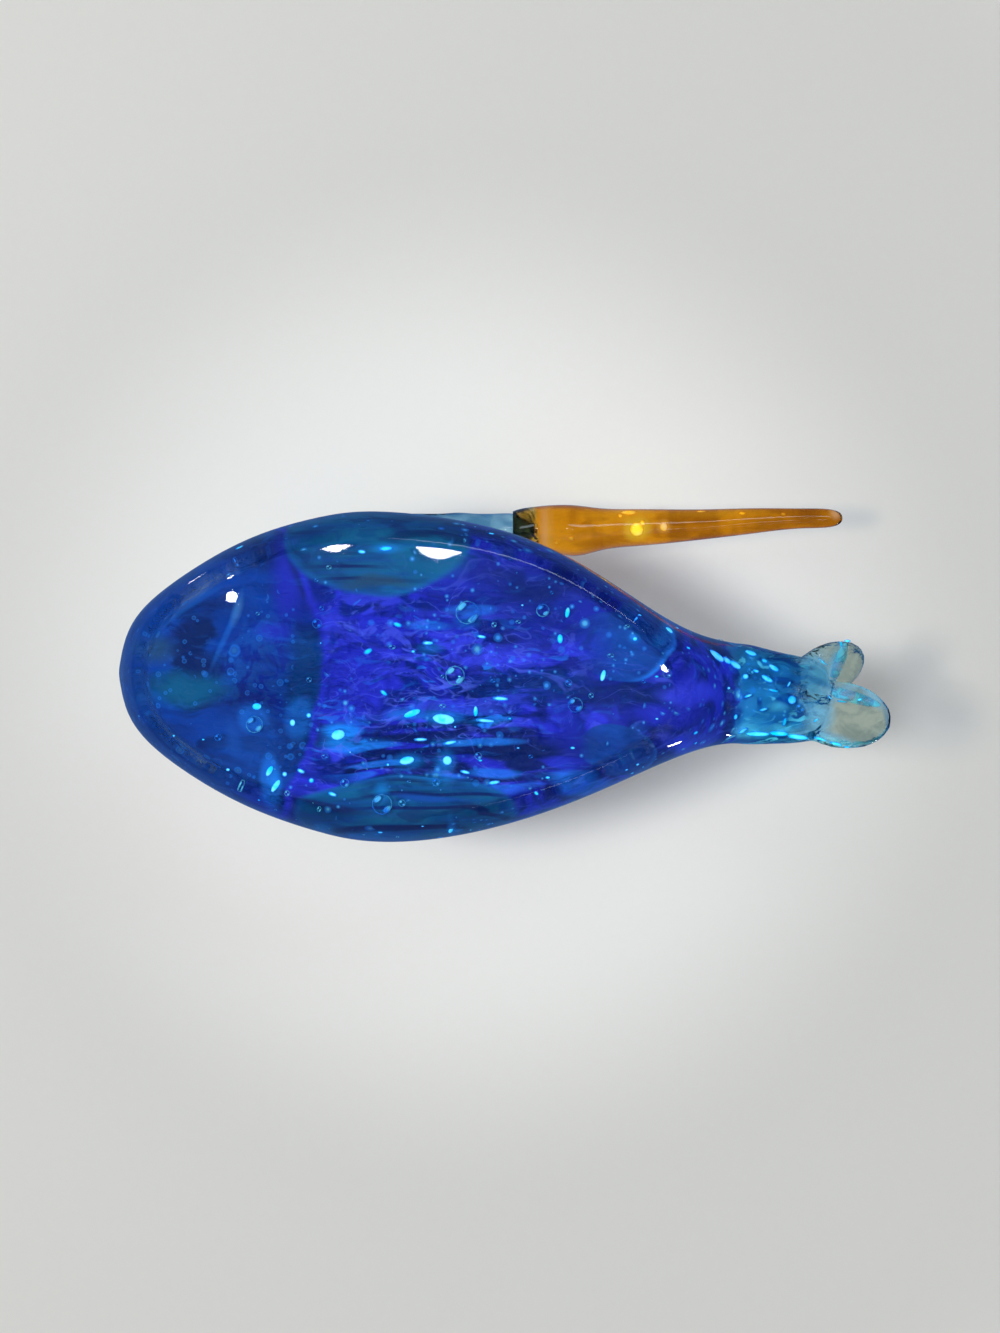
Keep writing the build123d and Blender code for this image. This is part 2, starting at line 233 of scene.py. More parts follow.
# Painted glow in the glass round the brightest seeds: middle and half sizes in millimetres, and share
PAINTED_GLOWS = [
    (-14.7, 11.5, 2.8, 2.2, 0.75), (-11.0, 13.0, 6.0, 0.9, 0.45), (-1.5, 7.6, 3.6, 1.1, 0.55),
    (5.3, 8.4, 3.0, 1.5, 0.55), (-1.3, 16.5, 2.6, 1.4, 0.60), (5.8, 16.5, 1.7, 2.0, 0.65),
    (13.5, 9.2, 3.4, 0.7, 0.50), (6.3, 13.0, 3.2, 0.7, 0.50), (4.6, 19.6, 2.6, 1.4, 0.45),
    (-6.4, 22.2, 1.3, 2.0, 0.45), (6.6, 28.0, 0.8, 1.6, 0.45), (-18.4, 27.8, 2.4, 1.0, 0.60),
    (32.9, 21.0, 1.8, 1.0, 0.60), (47.2, -6.8, 1.6, 1.6, 0.70), (41.8, -7.0, 1.1, 1.0, 0.45),
    (9.8, -10.3, 2.2, 1.6, 0.40), (2.8, -5.0, 2.2, 1.0, 0.45), (-5.4, -24.0, 2.6, 0.9, 0.55),
    (-26.8, 20.2, 1.2, 2.2, 0.35), (66.2, -4.3, 3.0, 0.8, 0.40), (-29.0, -25.0, 2.0, 1.2, 0.45),
]
# Where the gather turns into the drawn tail along X, and where its thin end fades
TAIL_START = (0.0603, 0.0625)
GATHER_FADE = (0.0715, 0.0770)
# Patches in the tail: middle over the base and half sizes in millimetres, colour and share
TAIL_PATCHES = [
    (67.0, 0.8, 7.5, 3.2, "tail_deep", 0.55), (61.0, 6.0, 1.6, 7.0, "slate", 0.60),
    (61.0, -3.2, 6.0, 1.6, "olive", 0.60), (66.5, -0.2, 5.0, 1.5, "teal", 0.55),
    (67.5, 2.6, 4.0, 0.7, "tail", 0.60), (69.0, 8.0, 5.0, 2.2, "tail", 0.95),
    (65.0, 10.6, 3.0, 1.5, "tail_pale", 0.95), (71.0, 10.8, 4.5, 1.0, "tail_pale", 0.85),
    (63.2, 7.2, 0.9, 2.5, "tail_deep", 0.70), (70.0, 6.6, 2.6, 1.0, "tail_pale", 0.55),
    (73.5, 0.5, 2.0, 2.6, "tail_deep", 0.70), (53.0, 4.0, 5.0, 2.2, "bright", 0.60),
    (55.5, 10.5, 4.0, 1.2, "bright", 0.60), (48.0, 7.5, 6.0, 2.0, "violet", 0.70),
]
# Curled veils: stretch, fineness, thinness and share. Air specks: fineness, crowd, size and share
VEILS = (((0.45, 1, 1), 105.0, 0.014, 0.45), ((0.6, 1, 1), 210.0, 0.020, 0.30))
SPECKS = ((240.0, 0.86, 0.20, 0.75), (430.0, 0.82, 0.24, 0.8), (820.0, 0.86, 0.28, 0.6))

# Where the bill's lap on the head ends, and how softly
LAP_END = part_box("bill")[0].x + 0.0052
LAP_BLUR = 0.0012
# Spots in the bill, most of them painted light: a lit yellow glint, rose highlights on the face and tip and
# pale glows, beside darker brown places. Middle and half sizes in millimetres, softness, share and colour
BILL_SPOTS = [
    ((30.5, -27.8, 57), (5.0, 2.6, 5), 0.8, 0.40, "amber_pale"),
    ((25.8, -29.0, 58), (1.2, 4.8, 6), 0.8, 0.65, "rose"),
    ((37.5, -27.0, 58), (5.5, 1.0, 6), 0.8, 0.80, "amber_deep"),
    ((40.0, -36.0, 60), (14.0, 1.0, 6), 0.8, 0.60, "amber_deep"),
    ((43.2, -33.2, 57), (3.0, 1.8, 4), 0.8, 0.80, "amber_pale"),
    ((44.6, -30.1, 56), (2.3, 2.0, 4), 0.6, 1.0, "amber_lit"),
    ((50.2, -30.6, 56), (1.3, 1.2, 4), 0.5, 0.80, "rose"),
    ((60.0, -33.5, 56), (9.0, 1.0, 4), 0.8, 0.60, "amber_pale"),
    ((80.5, -32.8, 55), (3.8, 1.8, 6), 0.8, 0.85, "amber_deep"),
    ((72.0, -31.5, 55), (4.0, 1.2, 6), 0.8, 0.50, "amber_deep"),
    ((85.6, -33.4, 54), (1.1, 1.1, 3), 0.7, 0.80, "rose"),
]

# Round seeds that stand out: place over the base and radius, in millimetres
ROUND_SEEDS = [
    (-18.7, -9.7, 0.95), (-17.8, -12.6, 0.55), (-30.6, 9.5, 1.7), (-6.3, 24.7, 2.0), (9.9, -11.8, 2.3),
    (7.6, 0.2, 1.9), (24.3, -12.2, 1.3), (30.5, 5.8, 1.5), (-13.4, 20.7, 0.9), (-20.2, 1.0, 0.6),
    (15.0, -9.5, 0.6), (29.2, 1.6, 0.7), (33.5, 4.0, 0.6), (-2.5, 24.5, 0.7), (-24.4, 22.6, 0.6),
    (-26.5, 26.0, 0.5), (4.0, 20.5, 0.8), (12.0, 15.5, 0.7), (-35.4, -18.8, 0.6), (-28.6, -24.6, 0.6),
    (-37.5, 12.0, 0.7), (-33.0, 20.5, 0.6), (48.0, -0.2, 0.9), (43.5, 1.3, 0.5), (74.8, 6.6, 0.9),
    (65.0, -0.5, 0.7),
]
# Painted glints, as flattened seeds that glow a little: place over the base, half length, half width and turn
# in degrees
GLINT_SEEDS = [
    (-14.7, 11.5, 1.2, 0.9, -15), (-0.6, 7.4, 1.5, 0.6, -20), (5.4, 8.5, 1.9, 0.9, 8),
    (-1.6, 16.4, 1.3, 0.7, -12), (6.1, 16.4, 0.8, 0.8, 0), (6.6, 13.0, 1.4, 0.4, -10),
    (13.3, 8.8, 1.9, 0.4, 5), (11.5, 7.0, 0.4, 0.9, 0), (16.2, 4.6, 1.6, 0.45, 3),
    (-10.2, -23.4, 0.8, 0.4, 8), (-5.6, -24.0, 1.4, 0.5, -4), (-9.0, -4.4, 0.9, 0.5, -30),
    (-30.2, 6.1, 0.8, 0.6, 0), (-23.4, 9.2, 0.5, 0.6, 0), (-20.3, 7.8, 0.5, 0.5, 0),
    (-27.8, 18.4, 0.5, 1.0, 30), (-26.6, 21.2, 0.5, 1.2, 35), (-24.9, 19.0, 0.5, 0.5, 0),
    (-21.8, 18.4, 0.8, 0.4, 25), (-19.8, 20.2, 0.5, 0.5, 0), (-18.6, 27.6, 1.0, 0.45, -10),
    (6.4, 28.0, 0.45, 1.2, 5), (5.6, 29.6, 0.6, 0.5, 0), (32.6, 21.2, 0.7, 0.5, 20),
    (47.2, -6.6, 0.8, 0.7, 0), (41.9, -6.8, 0.5, 0.45, 0), (42.8, -10.6, 0.9, 0.35, 35),
    (27.6, -6.8, 0.5, 0.8, 0), (29.0, -11.8, 0.4, 0.9, 10), (35.8, 0.2, 0.45, 1.0, 15),
    (-29.4, -25.2, 1.1, 0.5, -28), (-33.0, -22.0, 0.9, 0.5, -30), (-15.8, 22.8, 0.9, 0.4, 20),
    (1.0, 12.4, 1.3, 0.35, 0), (9.5, 18.6, 1.0, 0.35, 12), (15.0, 20.6, 1.2, 0.4, -8),
    (-6.0, 3.5, 0.8, 0.4, 40), (2.4, -6.0, 1.1, 0.4, 0), (-3.4, -9.5, 0.9, 0.45, 20),
    (12.6, -7.2, 0.9, 0.35, 10), (56.8, -2.4, 1.3, 0.6, 12), (59.2, -1.9, 0.8, 0.45, 8),
    (61.4, -1.4, 1.1, 0.5, 14), (65.2, -3.3, 0.8, 0.4, 18), (67.8, -2.2, 0.5, 0.35, 10),
    (69.6, -1.0, 0.8, 0.4, 28), (68.2, 1.0, 0.9, 0.4, 28), (66.0, -0.4, 0.5, 0.3, 10),
    (63.9, 0.6, 0.5, 0.4, 0), (73.2, 5.0, 0.6, 0.6, 0), (63.6, 10.7, 0.9, 0.35, -30),
    (66.6, 11.3, 1.6, 0.45, 5), (70.8, 11.3, 1.3, 0.45, 8), (74.6, 11.9, 1.5, 0.45, 14),
    (71.8, 9.2, 0.3, 0.6, 15), (61.5, 8.0, 0.4, 0.4, 0), (64.4, 4.2, 0.7, 0.22, -18),
    (69.4, 3.2, 0.9, 0.22, 12), (72.6, 2.0, 0.2, 0.45, 35), (67.5, 6.8, 0.7, 0.25, -12),
]
# Painted glints in the lobes: place in three directions, half length, half width and turn in degrees
LOBE_SEEDS = [
    (79.2, 12.4, 21.6, 1.7, 0.35, 14), (82.2, 13.4, 21.4, 1.5, 0.40, 16), (84.4, 14.1, 21.6, 0.8, 0.35, 12),
    (80.6, 4.6, 21.0, 0.9, 0.25, 28), (83.4, 5.4, 20.8, 1.3, 0.25, 6), (86.9, 5.0, 21.0, 0.6, 0.3, -20),
    (85.2, -6.6, 27.6, 0.8, 0.35, 0), (83.6, -5.4, 27.0, 0.35, 0.5, 0), (79.5, -2.2, 27.0, 1.0, 0.25, 22),
    (78.0, 8.8, 20.6, 0.7, 0.25, -30),
]
# Painted glints in the bill, as seeds: place in three directions, half length and half width
BILL_SEEDS = [
    (44.6, -30.1, 57.2, 1.5, 1.3), (43.0, -33.2, 58.0, 1.7, 0.7), (45.8, -31.2, 57.3, 0.7, 0.6),
    (50.2, -30.6, 57.4, 0.9, 0.8), (41.2, -32.4, 58.0, 0.6, 0.5), (58.0, -33.6, 57.0, 1.2, 0.4),
    (66.5, -33.0, 56.6, 0.9, 0.35), (75.0, -33.0, 55.6, 0.7, 0.35), (31.0, -28.4, 57.0, 0.8, 0.5),
    (28.0, -27.6, 57.4, 0.6, 0.5),
]
# Painted highlights on the seeds: the way a seed's skin faces where one is painted, and the levels between
# which it sets in
SEED_HIGHLIGHTS = [
    ((-0.35, -0.45, -0.82), 0.93, 0.975), ((0.55, 0.45, -0.70), 0.90, 0.99),
    ((-0.3, -0.4, 0.87), 0.93, 0.975),
]
# Past this X, in millimetres, seeds lie in the tail. For lit seeds in the body and in the tail: share of the
# casing's depth over them, how much they are grown and their half thickness in millimetres
TAIL_SEEDS_X = 55
LIT_IN_BODY = (0.12, 1.2, 0.35)
LIT_IN_TAIL = (0.30, 1.55, 0.6)
# Thickest half of a round seed, and half thickness of the seeds in the lobes and in the bill, in millimetres
ROUND_SEED_LIMIT = 1.1
LOBE_SEED_HALF = 0.2
BILL_SEED_HALF = 0.5
# Half width from which a seed gets the finer mesh
FINE_SEED = 0.0006
# Ahead of this X most scattered seeds are drawn again, since the front of the gather is calmer
CALM_X = -0.020
CALM_SHARE = 0.85


# Small tools for pieces

def nothing_selected():
    if bpy.context.object and bpy.context.object.mode != "OBJECT":
        bpy.ops.object.mode_set(mode="OBJECT")
    bpy.ops.object.select_all(action="DESELECT")


def pick(*pieces):
    """Select these pieces alone, the last one active."""
    nothing_selected()
    for piece in pieces:
        piece.select_set(True)
    bpy.context.view_layer.objects.active = pieces[-1]


def edit_all(piece):
    """Open a piece's mesh with all of it selected."""
    pick(piece)
    bpy.ops.object.mode_set(mode="EDIT")
    bpy.ops.mesh.select_all(action="SELECT")


def settle(piece):
    """Put a piece's place into its mesh, as a cast solid has it."""
    pick(piece)
    bpy.ops.object.transform_apply(location=True, rotation=True, scale=True)


def copy_of_solid(node, name):
    """A closed copy of a cast solid's skin, with its loose triangles joined up."""
    mesh = frame["nodes"][node].data.copy()
    mesh.name = name
    piece = bpy.data.objects.new(name, mesh)
    bpy.context.scene.collection.objects.link(piece)
    edit_all(piece)
    bpy.ops.mesh.remove_doubles(threshold=WELD)
    bpy.ops.object.mode_set(mode="OBJECT")
    return piece


def join_as(name, pieces):
    pick(*pieces)
    bpy.ops.object.join()
    whole = bpy.context.view_layer.objects.active
    whole.name = name
    whole.data.name = name
    return whole


def keep_outside(piece):
    """Takes out hollows inside a closed skin, which other glass fills."""
    pick(piece)
    bpy.ops.object.mode_set(mode="EDIT")
    bpy.ops.mesh.select_all(action="DESELECT")
    bpy.ops.object.mode_set(mode="OBJECT")
    first = min(piece.data.vertices, key=lambda vert: vert.co.x)
    first.select = True
    bpy.ops.object.mode_set(mode="EDIT")
    bpy.ops.mesh.select_mode(type="VERT")
    bpy.ops.mesh.select_linked()
    bpy.ops.mesh.select_all(action="INVERT")
    bpy.ops.mesh.delete(type="VERT")
    bpy.ops.object.mode_set(mode="OBJECT")


def melt(piece, voxel, rounds):
    """Runs touching bodies of glass together into one smooth skin."""
    pick(piece)
    remesh = piece.modifiers.new("one skin", "REMESH")
    remesh.mode = "VOXEL"
    remesh.voxel_size = voxel
    bpy.ops.object.modifier_apply(modifier=remesh.name)
    smooth = piece.modifiers.new("even", "SMOOTH")
    smooth.factor = 0.5
    smooth.iterations = rounds
    bpy.ops.object.modifier_apply(modifier=smooth.name)
    bpy.ops.object.shade_smooth()


def dress(piece, material):
    piece.data.materials.clear()
    piece.data.materials.append(material)


def dress_nodes(material, *nodes):
    for node in nodes:
        dress(frame["nodes"][node], material)


def on_body(piece):
    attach(piece, ROOT)


# Small tools for materials

def rgba(colour):
    return (colour[0], colour[1], colour[2], 1.0)


def paint(name, share=1.0):
    """A colour of the settings, darker or lighter by a share."""
    return rgba([share * value for value in getattr(colours(), name)])


class Tree:
    """Writes one node tree, a line for each node."""

    def __init__(self, tree):
        self.tree = tree

    def feed(self, made, links):
        """Link or set the inputs of a node."""
        for key, value in links.items():
            socket = made.inputs[key]
            if isinstance(value, bpy.types.NodeSocket):
                self.tree.links.new(value, socket)
            else:
                socket.default_value = value
        return made

    def add(self, kind, links=None, **settings):
        made = self.tree.nodes.new(kind)
        for key, value in settings.items():
            setattr(made, key, value)
        return self.feed(made, links or {})

    def use(self, build, **links):
        """A node group by the function that builds it, which runs when the group is first used."""
        name = build.__name__.replace("_", " ").capitalize()
        group = bpy.data.node_groups.get(name) or build(name)
        made = self.add("ShaderNodeGroup", node_tree=group)
        return self.feed(made, {key.replace("_", " "): value for key, value in links.items()})

    def math(self, operation, first, second=0.0, clamp=False):
        made = self.add("ShaderNodeMath", {0: first, 1: second}, operation=operation, use_clamp=clamp)
        return made.outputs[0]

    def times(self, first, *others):
        for other in others:
            first = self.math("MULTIPLY", first, other)
        return first

    def plus(self, first, second):
        return self.math("ADD", first, second)

    def less(self, first, second, clamp=False):
        return self.math("SUBTRACT", first, second, clamp)

    def most(self, first, second):
        return self.math("MAXIMUM", first, second)

    def vector(self, operation, first, second=(0, 0, 0)):
        return self.add("ShaderNodeVectorMath", {0: first, 1: second}, operation=operation).outputs[0]

    def length(self, vector):
        return self.add("ShaderNodeVectorMath", {0: vector}, operation="LENGTH").outputs["Value"]

    def map(self, value, low, high, to_low=0.0, to_high=1.0, smooth=True):
        kind = "SMOOTHSTEP" if smooth else "LINEAR"
        links = {"Value": value, "From Min": low, "From Max": high, "To Min": to_low, "To Max": to_high}
        return self.add("ShaderNodeMapRange", links, interpolation_type=kind).outputs[0]

    def mix(self, share, first, second, blend="MIX"):
        made = self.add("ShaderNodeMix", {0: share, 6: first, 7: second}, data_type="RGBA", blend_type=blend)
        return made.outputs[2]

    def place(self):
        return self.add("ShaderNodeTexCoord").outputs["Object"]

    def split(self, vector):
        return self.add("ShaderNodeSeparateXYZ", {0: vector}).outputs

    def slant(self):
        return self.add("ShaderNodeLayerWeight", {"Blend": 0.5}).outputs["Facing"]

    def normal(self):
        return self.add("ShaderNodeNewGeometry").outputs["Normal"]

    def noise(self, place, scale, detail=3.0, roughness=0.5, distortion=0.0):
        links = {"Vector": place, "Scale": scale, "Detail": detail, "Roughness": roughness}
        return self.add("ShaderNodeTexNoise", {**links, "Distortion": distortion}).outputs["Fac"]

    def stretch(self, place, scale, turn=(0, 0, 0), shift=(0, 0, 0)):
        links = {"Vector": place, "Location": shift, "Rotation": turn, "Scale": scale}
        return self.add("ShaderNodeMapping", links).outputs[0]

    def wander(self, place, reach, **noise):
        """The place, moved up to a reach by slow noise."""
        drift = self.add("ShaderNodeTexNoise", {"Vector": place, **noise}).outputs["Color"]
        drift = self.vector("SUBTRACT", drift, (0.5, 0.5, 0.5))
        drift = self.add("ShaderNodeVectorMath", {0: drift, "Scale": reach}, operation="SCALE").outputs[0]
        return self.vector("ADD", place, drift)

    def oval(self, place, middle, half_size, softness, turn=0):
        """A mask of a soft-edged oval, in metres, that is turned about Z by degrees."""
        middle = Vector(middle)
        if turn:
            place = self.stretch(place, (1, 1, 1), turn=(0, 0, -math.radians(turn)))
            middle = Matrix.Rotation(-math.radians(turn), 3, "Z") @ middle
        made = self.use(oval_zone, Place=place, Middle=middle, Half_size=half_size, Softness=softness)
        return made.outputs[0]

    def bump(self, height, strength, distance):
        links = {"Strength": strength, "Distance": distance, "Height": height}
        return self.add("ShaderNodeBump", links).outputs[0]

    def surface(self, shader):
        self.add("ShaderNodeOutputMaterial", {"Surface": shader})

    def paste(self, **links):
        """Glass that is coloured through, by the inputs of its shader."""
        links = {key.replace("_", " "): value for key, value in links.items()}
        self.surface(self.add("ShaderNodeBsdfPrincipled", links).outputs[0])

    def glass(self, colour, roughness, bump):
        """Clear glass that lets some lamplight through, so what is inside is lit and shadows are soft."""
        links = {"Base Color": colour, "Roughness": roughness, "IOR": GLASS_IOR, "Transmission Weight": 1.0}
        shader = self.add("ShaderNodeBsdfPrincipled", {**links, "Normal": bump}).outputs[0]
        shadow = self.add("ShaderNodeLightPath").outputs["Is Shadow Ray"]
        clear = self.add("ShaderNodeBsdfTransparent", {"Color": paint("shade")}).outputs[0]
        self.surface(self.add("ShaderNodeMixShader", {0: shadow, 1: shader, 2: clear}).outputs[0])


def new_material(name):
    material = bpy.data.materials.new(name)
    material.use_nodes = True
    material.node_tree.nodes.clear()
    return material, Tree(material.node_tree)


def new_group(name, vectors, floats, outputs):
    """A node group with vector and number inputs, its tree, the sockets of its inputs and its output node."""
    group = bpy.data.node_groups.new(name, "ShaderNodeTree")
    for label in vectors:
        group.interface.new_socket(name=label, in_out="INPUT", socket_type="NodeSocketVector")
    for label in floats:
        group.interface.new_socket(name=label, in_out="INPUT", socket_type="NodeSocketFloat")
    for label in outputs:
        group.interface.new_socket(name=label, in_out="OUTPUT", socket_type="NodeSocketFloat")
    t = Tree(group)
    count = len(vectors) + len(floats)
    return group, t, t.add("NodeGroupInput").outputs[:count], t.add("NodeGroupOutput")


def oval_zone(name):
    """1 inside a soft-edged oval, 0 outside. The middle and half sizes are in metres."""
    group, t, inside, out = new_group(name, ["Place", "Middle", "Half size"], ["Softness"], ["Mask"])
    place, middle, half_size, softness = inside
    reach = t.length(t.vector("DIVIDE", t.vector("SUBTRACT", place, middle), half_size))
    edge = t.plus(1.0, softness)
    inner = t.less(1.0, softness)
    t.feed(out, {0: t.map(reach, inner, edge, 1.0, 0.0)})
    return group


def pulled_threads(name):
    """Threads drawn out along the body: a mask of fine bright threads, one of dark ones and their height."""
    floats, outputs = ["Across", "Along", "Wander"], ["Bright", "Dark", "Height"]
    group, t, (place, across, along, wander), out = new_group(name, ["Place"], floats, outputs)
    bent = t.wander(place, wander, Scale=60.0, Detail=2.0)
    scale = t.add("ShaderNodeCombineXYZ", {0: along, 1: across, 2: across}).outputs[0]
    drawn = t.vector("MULTIPLY", bent, scale)
    fine = t.noise(drawn, 1.0, 4.0, 0.6)
    broad = t.noise(t.vector("MULTIPLY", drawn, (0.5, 0.4, 0.4)), 1.0, 2.0, 0.5)
    t.feed(out, {0: t.map(fine, 0.56, 0.70), 1: t.map(fine, 0.46, 0.34), 2: t.plus(fine, broad)})
    return group


def fire_polish(name):
    """The gentle ripples of fire-polished glass, as a height."""
    group, t, (place, ripple, depth), out = new_group(name, ["Place"], ["Ripple", "Depth"], ["Height"])
    broad = t.noise(place, ripple, 1.0, 0.4)
    finer = t.noise(place, t.times(ripple, 4.0), 2.0, 0.5)
    t.feed(out, {0: t.times(t.plus(broad, t.times(finer, 0.12)), depth)})
    return group


def air_specks(name):
    """Tiny air specks by chance: a mask of lit specks, larger rings and a second chance for their tone."""
    floats, outputs = ["Fineness", "Crowd", "Size"], ["Specks", "Rings", "Tone"]
    group, t, (place, fineness, crowd, size), out = new_group(name, ["Place"], floats, outputs)
    links = {"Vector": place, "Scale": fineness, "Randomness": 1.0}
    cells = t.add("ShaderNodeTexVoronoi", links, feature="F1")
    chance = t.add("ShaderNodeSeparateColor", {0: cells.outputs["Color"]}).outputs
    flock = t.map(t.noise(place, 75.0, 2.0, 0.5), 0.35, 0.65, 0.75, 1.25)
    kept = t.math("GREATER_THAN", t.times(chance[0], flock), crowd)
    near = t.math("DIVIDE", cells.outputs["Distance"], t.times(size, t.plus(0.35, chance[1])))
    ring = t.times(t.map(near, 1.35, 1.0), t.map(near, 0.6, 0.95))
    t.feed(out, {0: t.times(t.map(near, 1.0, 0.25), kept), 1: t.times(ring, kept), 2: chance[2]})
    return group


def curled_veils(name):
    """Thin curled veils, as between folds of hot glass: masks of bright edges and of shade beside them."""
    floats, outputs = ["Fineness", "Thin"], ["Edge", "Shade"]
    group, t, (place, fineness, thin), out = new_group(name, ["Place"], floats, outputs)
    fold = t.noise(place, fineness, 3.0, 0.55, 0.9)
    line = t.math("ABSOLUTE", t.less(fold, 0.5))
    broken = t.map(t.noise(place, t.times(fineness, 1.7), 2.0), 0.42, 0.62)
    t.feed(out, {0: t.times(t.map(line, thin, 0.0), broken), 1: t.map(fold, 0.52, 0.60)})
    return group


# Materials

def skin_glass():
    """Clear glass of the skin: blue round the body, aqua up the neck and down the tail, pale in the lobes."""
    material, t = new_material("skin glass")
    place = t.place()
    drift = t.less(t.noise(place, 130.0, 3.0, 0.6), 0.5)
    ahead, _, up = t.split(place)
    slant = t.slant()
    deeper = t.map(slant, 0.18, 0.80)
    body = t.mix(deeper, paint("casing"), paint("casing_deep"))
    # A painted band of lit blue just inside the outline, where the skin is seen steeply aslant
    body = t.mix(t.times(t.map(slant, 0.55, 0.68), t.map(slant, 0.86, 0.74)), body, paint("rim"))

    mottle = t.noise(t.stretch(place, (0.45, 1.0, 1.0)), 260.0, 3.0, 0.6, 0.8)
    drawn = t.mix(t.map(mottle, 0.40, 0.62), paint("tail_skin"), paint("tail_skin", 0.55))
    drawn = t.mix(t.times(deeper, 0.6), drawn, paint("tail_deep"))
    colour = t.mix(t.map(t.plus(ahead, t.times(drift, 0.022)), *TAIL_TURN), body, drawn)

    smoke = t.mix(t.map(t.noise(place, 190.0, 3.0, 0.6, 1.2), 0.42, 0.62), paint("clear"), paint("smoke"))
    smoke = t.mix(t.times(deeper, 0.5), smoke, paint("smoke", 0.6))
    for middle, half in LOBE_CLEAR:
        colour = t.mix(t.oval(place, middle, half, 0.35), colour, smoke)
    flows = [(*row, drawn) for row in LOBE_FLOWS]
    flows += [(*row[:3], paint(row[3])) for row in LOBE_LIGHTS]
    for middle, half, turn, flow_colour in flows:
        zone = t.oval(place, Vector(middle) * MM, Vector(half) * MM, 0.6, turn)
        colour = t.mix(t.times(zone, 0.9), colour, flow_colour)
    streak = t.noise(t.stretch(place, (0.6, 1.0, 1.0)), 210.0, 2.0, 0.5, 1.0)
    rod = t.mix(t.map(streak, 0.42, 0.62), paint("aqua"), paint("aqua_pale"))
    rod = t.mix(t.times(deeper, 0.7), rod, paint("aqua_deep"))
    colour = t.mix(t.map(t.plus(up, t.times(drift, 0.016)), *NECK_TURN), colour, rod)

    # Ripples over a flat base, pinches in the tail and folds where the lobes leave the stem
    height = t.use(fire_polish, Place=place, Ripple=34.0, Depth=1.0).outputs[0]
    height = t.times(height, t.map(up, 0.0012, 0.007))
    height = t.plus(height, t.times(mottle, t.map(ahead, 0.058, 0.068), 1.2))
    folds = t.noise(t.stretch(place, (0.7, 1.3, 1.0), turn=(0, 0, 0.4)), 330.0, 1.0, 0.5, 0.6)
    knot = t.times(t.map(ahead, 0.071, 0.076), t.map(ahead, 0.084, 0.080))
    height = t.plus(height, t.times(folds, knot, 3.0))
    t.glass(colour, 0.015, t.bump(height, 0.30, 0.0006))
    return material


